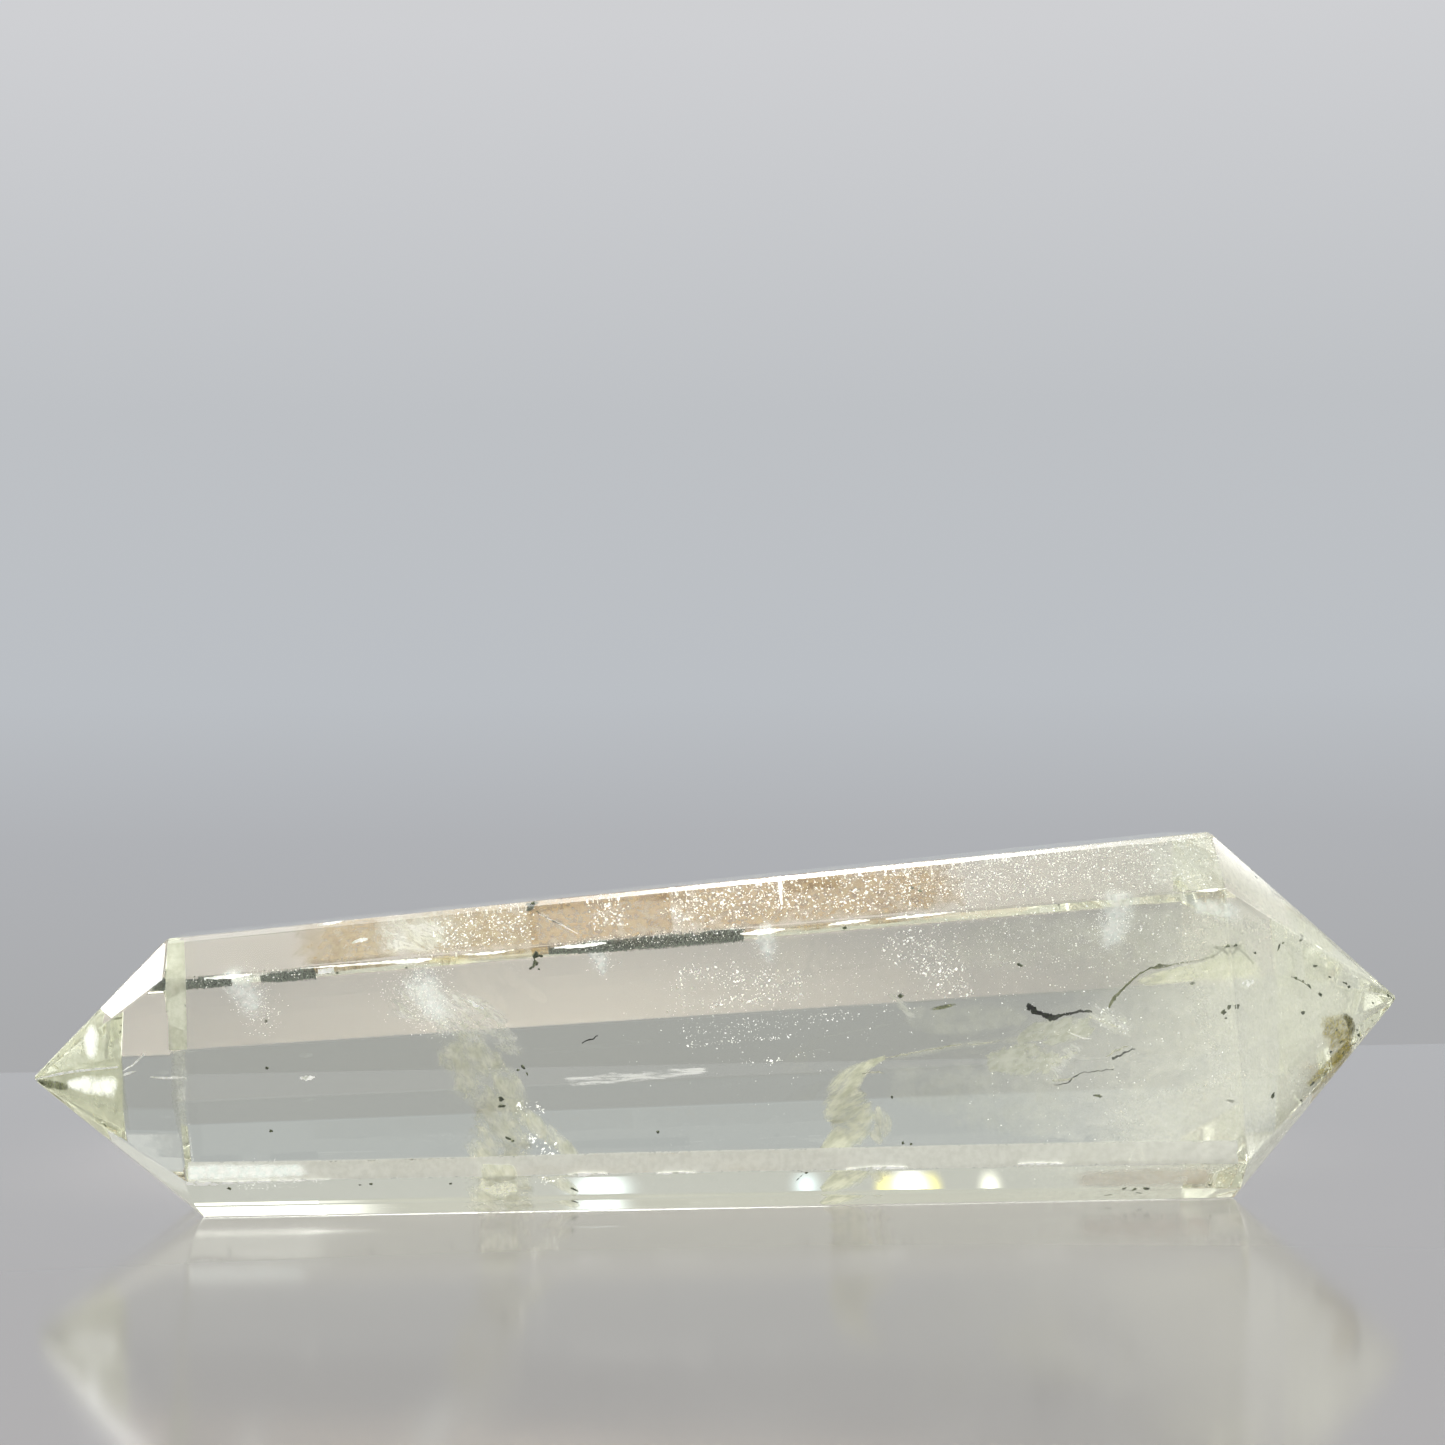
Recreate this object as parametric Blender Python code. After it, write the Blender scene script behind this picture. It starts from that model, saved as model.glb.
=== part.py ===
"""Vogel-cut quartz crystal: a clear twelve-sided wand, pointed at both ends.

The wand lies on one of its long facets. X runs along it, from the narrow point
to the wide one, Y runs across it and Z is up. Lengths are written in
millimetres here and turned into metres as the mesh is made.

A lapidary cuts each long facet at a facing (the way it looks, as an angle
about the wand's axis) and at a reach (its distance from that axis). Both
points are cut with one sloping facet above each long one. So the whole stone
follows from those facings and reaches, the two shoulders and the two points.
"""

import math
from typing import NamedTuple

import bpy
from mathutils import Vector

MM = 0.001

# Driving dimensions, in millimetres.
LENGTH = 90.0            # from point to point
NARROW_SHOULDER = 10.6   # from the narrow point to where the long facets start
WIDE_SHOULDER = 14.2     # from the wide point to where they end
NARROW_HEIGHT = 17.5     # across the wand at the narrow shoulder, top to bottom
WIDE_HEIGHT = 23.1       # the same at the wide shoulder
NARROW_POINT_HEIGHT = 8.3    # the narrow point, above the face it rests on
WIDE_POINT_HEIGHT = 11.8     # the wide point, above the same face


class Facet(NamedTuple):
    """One long facet of the wand, with the shoulder corner that ends it.

    facing is in degrees about the axis: 0 looks to the front (-Y), 90 looks
    up and 180 looks to the back. reach is the distance from the axis at each
    shoulder, and slip is how far the corner between this facet and the next
    one was cut towards the wide end.
    """

    name: str
    facing: float
    narrow_reach: float
    wide_reach: float
    narrow_slip: float
    wide_slip: float


FACETS = (
    Facet("top", 90, NARROW_HEIGHT / 2, WIDE_HEIGHT / 2, -1.1, -0.1),
    Facet("back_shoulder", 135, 8.40, 11.46, -0.6, 0.4),
    Facet("back_upper", 160, 8.09, 11.14, -0.7, 0.6),
    Facet("back", 180, 8.20, 11.40, -0.7, 0.6),
    Facet("back_lower", 186, 8.40, 11.72, -0.6, 0.4),
    Facet("back_foot", 200, 8.87, 12.45, -0.3, 0.1),
    Facet("back_base", 225, 9.50, 13.45, 0.2, -0.3),
    Facet("rest", 270, NARROW_HEIGHT / 2, WIDE_HEIGHT / 2, 1.2, 0.7),
    Facet("front_base", 300, 10.95, 14.52, 0.8, 0.8),
    Facet("front_foot", 318, 11.38, 14.94, 0.5, 0.9),
    Facet("front", 0, 9.70, 11.98, -0.8, -0.1),
    Facet("front_shoulder", 36, 11.52, 14.41, -0.8, -0.4),
)

# The colour and the optics of clear quartz with a faint lemon cast.
QUARTZ_COLOUR = (0.93, 0.95, 0.88, 1.0)
QUARTZ_IOR = 1.544
QUARTZ_ROUGHNESS = 0.02


def clear_objects() -> None:
    """Remove the objects that the file opened with."""
    for obj in list(bpy.data.objects):
        bpy.data.objects.remove(obj, do_unlink=True)


def facet_line(facet: Facet, reach: float) -> tuple[float, float, float]:
    """Return the facet's line in one section, as (across, up, reach)."""
    angle = math.radians(facet.facing)
    return -math.cos(angle), math.sin(angle), reach


def corner(first: tuple, second: tuple, centre_height: float) -> Vector:
    """Return where two facet lines of one section meet.

    Args:
        first: one line, as facet_line gives it.
        second: the next line around the wand.
        centre_height: height of the axis in this section.
    """
    ay, az, a = first
    by, bz, b = second
    det = ay * bz - az * by
    across = (a * bz - b * az) / det
    up = (ay * b - by * a) / det
    return Vector((0.0, across, up + centre_height))


def section(wide: bool) -> list[Vector]:
    """Return the corners of the wand's section at one shoulder, in order."""
    height = WIDE_HEIGHT if wide else NARROW_HEIGHT
    station = LENGTH / 2 - WIDE_SHOULDER if wide else NARROW_SHOULDER - LENGTH / 2
    lines = [facet_line(f, f.wide_reach if wide else f.narrow_reach) for f in FACETS]
    corners = []
    for index, line in enumerate(lines):
        point = corner(line, lines[(index + 1) % len(lines)], height / 2)
        point.x = station
        corners.append(point)
    return corners


def along_edge(narrow: Vector, wide: Vector, slip: float, at_wide: bool) -> Vector:
    """Slide a shoulder corner along its own long edge.

    The corner stays on the edge, so every long facet stays flat.
    """
    edge = (wide - narrow) / (wide.x - narrow.x)
    start = wide if at_wide else narrow
    return start + edge * slip


def shoulders() -> tuple[list[Vector], list[Vector]]:
    """Return the corners of the narrow and of the wide shoulder."""
    pairs = list(zip(FACETS, section(wide=False), section(wide=True)))
    narrow = [along_edge(n, w, f.narrow_slip, False) for f, n, w in pairs]
    wide = [along_edge(n, w, f.wide_slip, True) for f, n, w in pairs]
    return narrow, wide


def centred(points: list[Vector]) -> list[Vector]:
    """Move the points so that the middle of the resting wand is at the origin."""
    low = [min(p[k] for p in points) for k in range(3)]
    high = [max(p[k] for p in points) for k in range(3)]
    shift = Vector(((low[0] + high[0]) / 2, (low[1] + high[1]) / 2, low[2]))
    return [p - shift for p in points]


def crystal_mesh() -> bpy.types.Mesh:
    """Build the closed, faceted wand as one mesh in metres."""
    narrow, wide = shoulders()
    count = len(FACETS)
    narrow_point = Vector((-LENGTH / 2, 0.0, NARROW_POINT_HEIGHT))
    wide_point = Vector((LENGTH / 2, 0.0, WIDE_POINT_HEIGHT))
    points = centred([*narrow, *wide, narrow_point, wide_point])
    tip_narrow, tip_wide = 2 * count, 2 * count + 1
    faces = []
    for index in range(count):
        before = (index - 1) % count
        # Corner "before" starts this facet and corner "index" ends it.
        faces.append((before, count + before, count + index, index))
        faces.append((before, index, tip_narrow))
        faces.append((count + before, tip_wide, count + index))
    mesh = bpy.data.meshes.new("quartz_crystal")
    mesh.from_pydata([tuple(p * MM) for p in points], [], faces)
    mesh.validate()
    mesh.update()
    return mesh


def quartz() -> bpy.types.Material:
    """Clear quartz: see-through, with a polished surface."""
    material = bpy.data.materials.new("clear quartz")
    material.use_nodes = True
    shader = material.node_tree.nodes["Principled BSDF"]
    shader.inputs["Base Color"].default_value = QUARTZ_COLOUR
    shader.inputs["Metallic"].default_value = 0.0
    shader.inputs["Roughness"].default_value = QUARTZ_ROUGHNESS
    shader.inputs["IOR"].default_value = QUARTZ_IOR
    shader.inputs["Transmission Weight"].default_value = 1.0
    return material


def main() -> None:
    """Build the crystal."""
    clear_objects()
    crystal = bpy.data.objects.new("quartz_crystal", crystal_mesh())
    crystal.data.materials.append(quartz())
    bpy.context.scene.collection.objects.link(crystal)


main()
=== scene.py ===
"""Dresses the vogel-cut quartz crystal: the polished stone, what grew inside it, and the set it lies on.

The stone is one clear, faceted wand. Everything else here lies inside it: healed fractures that show as
veils, tiny bright flakes, dark mineral specks, hairline cracks and an iron stain near the wide point, with
painted highlights, a painted warm reflection and painted shade among them. Lengths are metres, as in the
frame, where no name or comment says millimetres or pixels.
"""

import logging
import math
from dataclasses import dataclass
from enum import Enum

import bmesh
import bpy
from bmesh.types import BMesh, BMFace, BMLayerItem, BMVert
from bpy.types import ID, AreaLight, Material, Mesh, Node, NodeSocket, NodeTree, Object
from mathutils import Matrix, Vector, noise
from mathutils.bvhtree import BVHTree


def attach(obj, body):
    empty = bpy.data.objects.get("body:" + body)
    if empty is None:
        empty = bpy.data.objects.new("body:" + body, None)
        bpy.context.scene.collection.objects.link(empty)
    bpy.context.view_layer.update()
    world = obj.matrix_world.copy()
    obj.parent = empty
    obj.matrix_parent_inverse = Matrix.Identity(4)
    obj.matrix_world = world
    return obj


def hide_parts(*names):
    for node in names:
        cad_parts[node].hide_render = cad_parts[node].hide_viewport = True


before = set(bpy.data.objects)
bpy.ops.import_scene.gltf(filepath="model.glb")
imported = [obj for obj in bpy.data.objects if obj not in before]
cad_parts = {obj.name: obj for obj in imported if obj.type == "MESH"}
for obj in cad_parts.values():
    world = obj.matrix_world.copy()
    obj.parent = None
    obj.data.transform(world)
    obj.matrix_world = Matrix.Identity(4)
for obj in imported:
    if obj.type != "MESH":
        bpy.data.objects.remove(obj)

LOG = logging.getLogger("quartz_crystal")
MM = 0.001
STONE = "quartz_crystal"
QUARTZ_IOR = 1.544
PIXEL_MM = 0.065       # what a pixel of the picture spans at the stone
RUN_STEP = 0.02        # how far along a line its direction is read, as a share of it

Triple = tuple[float, float, float]
Knot = tuple[float, float, float, float]   # pixels across and down, half width in pixels, depth in mm


# ---------------------------------------------------------------- helpers


def linear(code: str) -> tuple[float, float, float, float]:
    """Turn an sRGB hex colour into a linear one.

    Args:
        code: the colour as "#rrggbb".

    Returns:
        Red, green, blue and an alpha of 1.
    """
    parts = [int(code[k:k + 2], 16) / 255 for k in (1, 3, 5)]
    r, g, b = (c / 12.92 if c <= 0.04045 else ((c + 0.055) / 1.055) ** 2.4 for c in parts)
    return r, g, b, 1.0


def add_node(tree: NodeTree, kind: str, inputs: dict | None = None,
             **settings: object) -> Node:
    """Add a node, set its options and fill or link its inputs.

    Args:
        tree: the node tree that it goes into.
        kind: the node's type name.
        inputs: socket name or index to a plain value, or to an output socket to link.
        settings: the node's own options.

    Returns:
        The new node.
    """
    node = tree.nodes.new(kind)
    for name, value in settings.items():
        setattr(node, name, value)
    for key, value in (inputs or {}).items():
        if isinstance(value, NodeSocket):
            tree.links.new(value, node.inputs[key])
        else:
            node.inputs[key].default_value = value
    return node


def empty_tree(owner: ID) -> NodeTree:
    """Give a material, a light or the world an empty node tree.

    Args:
        owner: what the nodes belong to.

    Returns:
        The tree.
    """
    owner.use_nodes = True
    owner.node_tree.nodes.clear()
    return owner.node_tree


def new_material(name: str) -> tuple[Material, NodeTree, NodeSocket]:
    """Start a node material.

    Args:
        name: the material's name.

    Returns:
        The material, its tree, and the object coordinates that its patterns lie in.
    """
    material = bpy.data.materials.new(name)
    tree = empty_tree(material)
    return material, tree, add_node(tree, "ShaderNodeTexCoord").outputs["Object"]


def mottle(tree: NodeTree, place: NodeSocket, grain: float, detail: float,
           levels: tuple[float, float], colours: tuple[str, str]) -> NodeSocket:
    """Mix two colours in soft blotches.

    Args:
        tree: the material's nodes.
        place: the coordinates that the blotches lie in.
        grain: their size.
        detail: how many times finer the pattern gets.
        levels: the pattern's levels at which the first colour ends and the second is full.
        colours: the two colours.

    Returns:
        The mixed colour.
    """
    tone = add_node(tree, "ShaderNodeTexNoise", {"Vector": place, "Scale": 1 / grain, "Detail": detail})
    spread = add_node(tree, "ShaderNodeMapRange",
                      {"Value": tone.outputs[0], "From Min": levels[0], "From Max": levels[1]})
    mixed = add_node(tree, "ShaderNodeMix", {"Factor": spread.outputs[0], 6: linear(colours[0]),
                                             7: linear(colours[1])}, data_type="RGBA")
    return mixed.outputs[2]


def add_object(name: str, data: ID) -> Object:
    """Put a new object into the scene.

    Args:
        name: its name.
        data: its mesh, light or camera.

    Returns:
        The object.
    """
    made = bpy.data.objects.new(name, data)
    bpy.context.scene.collection.objects.link(made)
    return made


def close_mesh(shape: BMesh, name: str) -> Mesh:
    """Turn a shape in the making into a mesh.

    Args:
        shape: the shape, which is freed.
        name: the mesh's name.

    Returns:
        The mesh.
    """
    mesh = bpy.data.meshes.new(name)
    shape.to_mesh(mesh)
    shape.free()
    return mesh


def settle(mesh: Mesh, name: str, material: Material | None = None) -> Object:
    """Make a finished mesh a piece of the stone.

    Args:
        mesh: the mesh, with its place in it.
        name: the piece's name.
        material: its material, unless the mesh has one.

    Returns:
        The piece.
    """
    if material is not None:
        mesh.materials.clear()
        mesh.materials.append(material)
    piece = add_object(name, mesh)
    piece.visible_shadow = False       # light finds its way round what lies in clear quartz
    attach(piece, "root")
    return piece


def blend_knots(knots: tuple[Knot, ...], share: float) -> list[float]:
    """Read a smooth line through knots.

    Args:
        knots: the knots.
        share: how far along, from 0 to 1.

    Returns:
        Each of a knot's numbers at that place.
    """
    spot = share * (len(knots) - 1)
    k = min(int(spot), len(knots) - 2)
    t = spot - k
    a, b, c, d = (knots[min(max(k + i, 0), len(knots) - 1)] for i in (-1, 0, 1, 2))
    return [0.5 * (2 * q + (r - p) * t + (2 * p - 5 * q + 4 * r - s) * t * t
                   + (3 * q - p - 3 * r + s) * t ** 3) for p, q, r, s in zip(a, b, c, d)]


# ---------------------------------------------------------------- viewpoint


@dataclass(frozen=True)
class Viewpoint:
    """The camera, low in front of the stone and level with its upper half.

    Pixels are counted in a square picture, from its upper left corner.
    """

    place: Triple = (-0.01046, -0.1843, 0.0233)
    turn: float = math.radians(3.3)      # towards the wide point
    lift: float = math.radians(2.32)     # above level
    roll: float = math.radians(0.9)
    picture: float = 1445.0              # the picture's side, in pixels
    focal: float = 2800.0                # focal length, in pixels
    sensor_mm: float = 36.0
    nearest: float = 0.005
    farthest: float = 20.0

    def axes(self) -> tuple[Vector, Vector, Vector]:
        """Work out how the camera is turned.

        Returns:
            Its right, up and forward directions.
        """
        forward = Vector((math.sin(self.turn) * math.cos(self.lift),
                          math.cos(self.turn) * math.cos(self.lift),
                          math.sin(self.lift)))
        level = Vector((math.cos(self.turn), -math.sin(self.turn), 0.0))
        above = level.cross(forward)
        right = level * math.cos(self.roll) - above * math.sin(self.roll)
        up = above * math.cos(self.roll) + level * math.sin(self.roll)
        return right, up, forward

    def ray(self, u: float, v: float) -> Vector:
        """Work out the direction in which the camera sees a pixel.

        Args:
            u: pixels from the picture's left.
            v: pixels from its top.

        Returns:
            The direction.
        """
        right, up, forward = self.axes()
        half = self.picture / 2
        return (forward + right * ((u - half) / self.focal)
                - up * ((v - half) / self.focal)).normalized()

    def build(self) -> None:
        """Create the camera and make it the scene's."""
        data = bpy.data.cameras.new("camera")
        data.sensor_width = self.sensor_mm
        data.lens = self.sensor_mm * self.focal / self.picture
        data.clip_start = self.nearest
        data.clip_end = self.farthest
        right, up, forward = self.axes()
        turned = Matrix((right, up, -forward)).transposed().to_4x4()
        turned.translation = Vector(self.place)
        camera = add_object("camera", data)
        camera.matrix_world = turned
        bpy.context.scene.camera = camera


# ---------------------------------------------------------------- the stone


@dataclass(frozen=True)
class QuartzFinish:
    """Clear rock quartz, cut and polished.

    The polish gives sharp mirror-like glints, with a few faint lapping marks.
    Traces of iron give the clear body a lemon cast where light travels far in it.
    """

    body: str = "#f1f2eb"          # what the two faces of the polish leave of the light
    cast: str = "#f8f9ef"          # what is left of white light after the absorption depth
    absorption: float = 22.0       # to the metre
    polish: float = 0.0036         # roughness between the lapping marks
    marked: float = 0.0264         # roughness on them
    mark_mm: float = 1.0           # they are far finer, and drawn this coarse so that they show
    stretch: float = 0.08          # the pattern's scale along the stone, which draws them out along it

    def build(self) -> Material:
        """Build the stone's material.

        Returns:
            The material.
        """
        material, tree, place = new_material("clear polished quartz")
        drawn = add_node(tree, "ShaderNodeMapping", {"Vector": place, "Scale": (self.stretch, 1.0, 1.0)})
        marks = add_node(tree, "ShaderNodeTexNoise",
                         {"Vector": drawn.outputs[0], "Scale": 1 / (self.mark_mm * MM),
                          "Detail": 3.0, "Roughness": 0.6})
        rough = add_node(tree, "ShaderNodeMapRange",
                         {"Value": marks.outputs[0], "From Min": 0.55, "From Max": 0.75,
                          "To Min": self.polish, "To Max": self.marked})
        shader = add_node(tree, "ShaderNodeBsdfPrincipled",
                          {"Base Color": linear(self.body), "Roughness": rough.outputs[0],
                           "IOR": QUARTZ_IOR, "Transmission Weight": 1.0})
        depth = add_node(tree, "ShaderNodeVolumeAbsorption",
                         {"Color": linear(self.cast), "Density": self.absorption})
        add_node(tree, "ShaderNodeOutputMaterial", {"Surface": shader.outputs[0], "Volume": depth.outputs[0]})
        return material


@dataclass(frozen=True)
class Stone:
    """The quartz wand itself, with its sharp cut edges eased by the polish."""

    edge_round: float = 0.09 * MM
    ridge_chamfer: float = 0.42 * MM   # the long ridge over the front shoulder is cut back more
    weld: float = 0.001 * MM
    flat: float = math.radians(0.5)
    # The two facets beside that ridge look up, and neither along the stone nor back.
    least_upward: float = 0.3
    most_lengthwise: float = 0.3
    most_backward: float = 0.1
    finish: QuartzFinish = QuartzFinish()

    def facets(self) -> BMesh:
        """Copy the solid with each facet as one face.

        Returns:
            The copy.
        """
        shape = bmesh.new()
        shape.from_mesh(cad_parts[STONE].data)
        bmesh.ops.remove_doubles(shape, verts=shape.verts, dist=self.weld)
        bmesh.ops.dissolve_limit(shape, angle_limit=self.flat, verts=shape.verts, edges=shape.edges)
        return shape

    def beside_ridge(self, face: BMFace) -> bool:
        """Tell whether a face is the top facet or the front shoulder."""
        x, y, z = face.normal
        return abs(x) < self.most_lengthwise and y < self.most_backward and z > self.least_upward

    def build(self) -> Object:
        """Build the dressed stone and let it stand for the plain solid.

        Returns:
            The piece.
        """
        shape = self.facets()
        ridge = [edge for edge in shape.edges if all(map(self.beside_ridge, edge.link_faces))]
        bmesh.ops.bevel(shape, geom=ridge, offset=self.ridge_chamfer, segments=1, profile=0.5,
                        affect="EDGES", clamp_overlap=True)
        bmesh.ops.bevel(shape, geom=shape.edges[:], offset=self.edge_round, segments=2, profile=0.5,
                        affect="EDGES", clamp_overlap=True)
        bmesh.ops.recalc_face_normals(shape, faces=shape.faces)
        mesh = close_mesh(shape, "polished_stone")
        mesh.materials.append(self.finish.build())
        stone = add_object("polished_stone", mesh)
        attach(stone, "root")
        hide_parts(STONE)
        # So clear a stone lets its light through to what lies in it and under it.
        stone.visible_shadow = False
        stone.visible_diffuse = False
        return stone


@dataclass(frozen=True)
class StoneProbe:
    """Finds the place inside the stone that shows at a pixel.

    A line of sight bends where it enters a facet, so what shows at a pixel lies off
    the straight line behind it.
    """

    view: Viewpoint
    skin: BVHTree
    middle: tuple[float, float] = (715.0, 1035.0)   # a pixel well within the outline
    pulls: int = 100                # steps in which a pixel off the stone is drawn in
    clearance: float = 0.10 * MM    # what stays between an inclusion and the skin
    margin: float = 0.02 * MM       # nearer to the skin than this counts as outside
    nudge: float = 0.01             # millimetres off a facet before a ray is cast from it

    @classmethod
    def of_stone(cls, view: Viewpoint) -> "StoneProbe":
        """Make a probe of the solid stone.

        Args:
            view: the viewpoint that pixels are counted from.

        Returns:
            The probe.
        """
        shape = bmesh.new()
        shape.from_mesh(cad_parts[STONE].data)
        skin = BVHTree.FromBMesh(shape)
        shape.free()
        return cls(view, skin)

    def entry(self, u: float, v: float) -> tuple[Vector, Vector]:
        """Find where a line of sight enters the stone.

        A pixel off the stone is drawn in towards its middle until it meets it.

        Args:
            u: pixels from the picture's left.
            v: pixels from its top.

        Returns:
            The place on the facet, and the bent direction behind it.
        """
        eye = Vector(self.view.place)
        for step in range(self.pulls):
            way = self.view.ray(u + (self.middle[0] - u) * step / self.pulls,
                                v + (self.middle[1] - v) * step / self.pulls)
            place, normal, _, _ = self.skin.ray_cast(eye, way)
            if place is not None:
                break
        ratio = 1 / QUARTZ_IOR
        slant = -way.dot(normal)
        bent = math.sqrt(1 - ratio ** 2 * (1 - slant ** 2))
        return place, (way * ratio + normal * (ratio * slant - bent)).normalized()

    def holds(self, place: Vector) -> bool:
        """Tell whether a place lies under the stone's skin."""
        near, normal, _, _ = self.skin.find_nearest(place)
        return (place - near).dot(normal) < -self.margin

    def inside(self, u: float, v: float, depth: float) -> Vector:
        """Find the place that shows at a pixel.

        Args:
            u: pixels from the picture's left.
            v: pixels from its top.
            depth: millimetres behind the facet, as far as the stone is that deep.

        Returns:
            The place.
        """
        place, way = self.entry(u, v)
        reach = self.skin.ray_cast(place + way * self.nudge * MM, way)[3] or 0.0
        deep = min(depth * MM, reach - self.clearance)
        return place + way * max(deep, min(self.clearance, reach / 2))


# ---------------------------------------------------------------- films


@dataclass(frozen=True)
class Film:
    """A thin, gently rippled sheet inside the stone, laid along a line of knots."""

    name: str
    knots: tuple[Knot, ...]
    ripple: float = 0.35       # millimetres
    ripple_size: float = 2.5   # millimetres
    along: int = 40
    across: int = 12
    blunt: float = 0.6         # the nearer to 1, the closer to its ends it keeps its full strength
    rim: float = 4.0           # the lower, the sooner it fades towards its sides
    evened: int = 0            # how often its folds are smoothed
    seed: int = 1
    seed_stride: float = 37.0  # keeps the ripples of two seeds apart

    def mesh(self, probe: StoneProbe) -> Mesh:
        """Lay the film in the stone.

        Args:
            probe: finds places inside the stone.

        Returns:
            Its mesh, with a "fade" that falls to 0 at its rim.
        """
        shape = bmesh.new()
        fade = shape.verts.layers.float.new("fade")
        rows = [self.row(shape, fade, probe, i / self.along) for i in range(self.along + 1)]
        for one, two in zip(rows, rows[1:]):
            for k in range(self.across):
                shape.faces.new((one[k], one[k + 1], two[k + 1], two[k])).smooth = True
        inner = [point for point in shape.verts if not point.is_boundary]
        for _ in range(self.evened):
            bmesh.ops.smooth_vert(shape, verts=inner, factor=0.5, use_axis_x=True, use_axis_y=True,
                                  use_axis_z=True)
        return close_mesh(shape, self.name)

    def row(self, shape: BMesh, fade: BMLayerItem, probe: StoneProbe,
            share: float) -> list[BMVert]:
        """Add one row of points across the film.

        Args:
            shape: the mesh in the making.
            fade: its layer for the strength of the film.
            probe: finds places inside the stone.
            share: how far along the row is, from 0 to 1.

        Returns:
            The row's points.
        """
        u, v, half, depth = blend_knots(self.knots, share)
        u0, v0 = blend_knots(self.knots, max(share - RUN_STEP, 0))[:2]
        u1, v1 = blend_knots(self.knots, min(share + RUN_STEP, 1))[:2]
        length = math.hypot(u1 - u0, v1 - v0) or 1.0
        side = (-(v1 - v0) / length, (u1 - u0) / length)
        end = min(1.0, 4 * share * (1 - share) / (1.001 - self.blunt))    # 1.001 lets blunt be 1
        points = []
        for k in range(self.across + 1):
            s = 2 * k / self.across - 1
            pixel = (u + side[0] * half * s, v + side[1] * half * s)
            spot = Vector((*pixel, self.seed_stride * self.seed)) * (PIXEL_MM / self.ripple_size)
            point = shape.verts.new(probe.inside(*pixel, depth + self.ripple * noise.noise(spot)))
            point[fade] = end * (1 - abs(s) ** self.rim)
            points.append(point)
        return points


class Pattern(Enum):
    """How the pockets of a healed fracture lie on it."""

    CLOUD = "cloud"      # in soft blotches
    WISP = "wisp"        # along fine branching threads


@dataclass(frozen=True)
class FilmFinish:
    """A healed fracture: a clear film strewn with tiny pockets that scatter the light.

    It shows as a pale or tinted wisp with ragged edges, bare in places. The same kind of sheet also carries
    painted highlights, reflections and shade.
    """

    name: str
    pale: str
    deep: str
    cover: float                 # how much of what lies behind it hides where it is densest
    grain: float = 0.8           # size of its blotches, in millimetres
    bare: float = 0.5            # level of the pattern below which the film is clear
    soft: float = 0.15
    turn: Triple = (0.0, 0.0, 0.0)     # degrees
    drawn: Triple = (1.0, 1.0, 1.0)    # how far it is drawn out, once turned
    rough: float = 0.5
    ragged: float = 0.5
    glow: float = 0.0            # painted light: emission that makes the film brighter than the lamps light it
    pattern: Pattern = Pattern.CLOUD
    tones: float = 2.2           # how much finer its colours change than its blotches
    film_ior: float = 1.15       # so near to 1 that the film hardly mirrors

    @staticmethod
    def threads(tree: NodeTree, blotch: NodeSocket) -> NodeSocket:
        """Turn a cloud pattern into fine threads that follow its contours.

        Args:
            tree: the material's nodes.
            blotch: the cloud pattern, from 0 to 1.

        Returns:
            The threaded pattern, from 0 to 1.
        """
        off = add_node(tree, "ShaderNodeMath", {0: blotch, 1: 0.5}, operation="SUBTRACT")
        gap = add_node(tree, "ShaderNodeMath", {0: off.outputs[0]}, operation="ABSOLUTE")
        line = add_node(tree, "ShaderNodeMapRange",
                        {"Value": gap.outputs[0], "From Min": 0.07, "From Max": 0.0, "To Min": 0.25,
                         "To Max": 0.62})
        return line.outputs[0]

    def build(self) -> Material:
        """Build the film's material.

        Returns:
            The material.
        """
        material, tree, place = new_material(self.name)
        turned = add_node(tree, "ShaderNodeMapping",
                          {"Vector": place, "Rotation": tuple(map(math.radians, self.turn)),
                           "Scale": self.drawn}, vector_type="TEXTURE").outputs[0]
        blotch = add_node(tree, "ShaderNodeTexNoise",
                          {"Vector": turned, "Scale": 1 / (self.grain * MM), "Detail": 5.0,
                           "Roughness": 0.68, "Distortion": 0.4}).outputs[0]
        fade = add_node(tree, "ShaderNodeAttribute", attribute_name="fade").outputs["Fac"]
        worn = add_node(tree, "ShaderNodeMath", {0: fade, 1: self.ragged, 2: -self.ragged},
                        operation="MULTIPLY_ADD")
        lie = blotch if self.pattern is Pattern.CLOUD else self.threads(tree, blotch)
        level = add_node(tree, "ShaderNodeMath", {0: lie, 1: worn.outputs[0]}, operation="ADD")
        dense = add_node(tree, "ShaderNodeMapRange",
                         {"Value": level.outputs[0], "From Min": self.bare - self.soft,
                          "From Max": self.bare + self.soft, "To Max": self.cover},
                         interpolation_type="SMOOTHSTEP")
        colour = mottle(tree, turned, self.grain * MM / self.tones, 2.0, (0.35, 0.65), (self.deep, self.pale))
        shader = add_node(tree, "ShaderNodeBsdfPrincipled",
                          {"Base Color": colour, "Roughness": self.rough, "Alpha": dense.outputs[0],
                           "IOR": self.film_ior, "Emission Color": colour, "Emission Strength": self.glow})
        add_node(tree, "ShaderNodeOutputMaterial", {"Surface": shader.outputs[0]})
        return material


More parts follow.
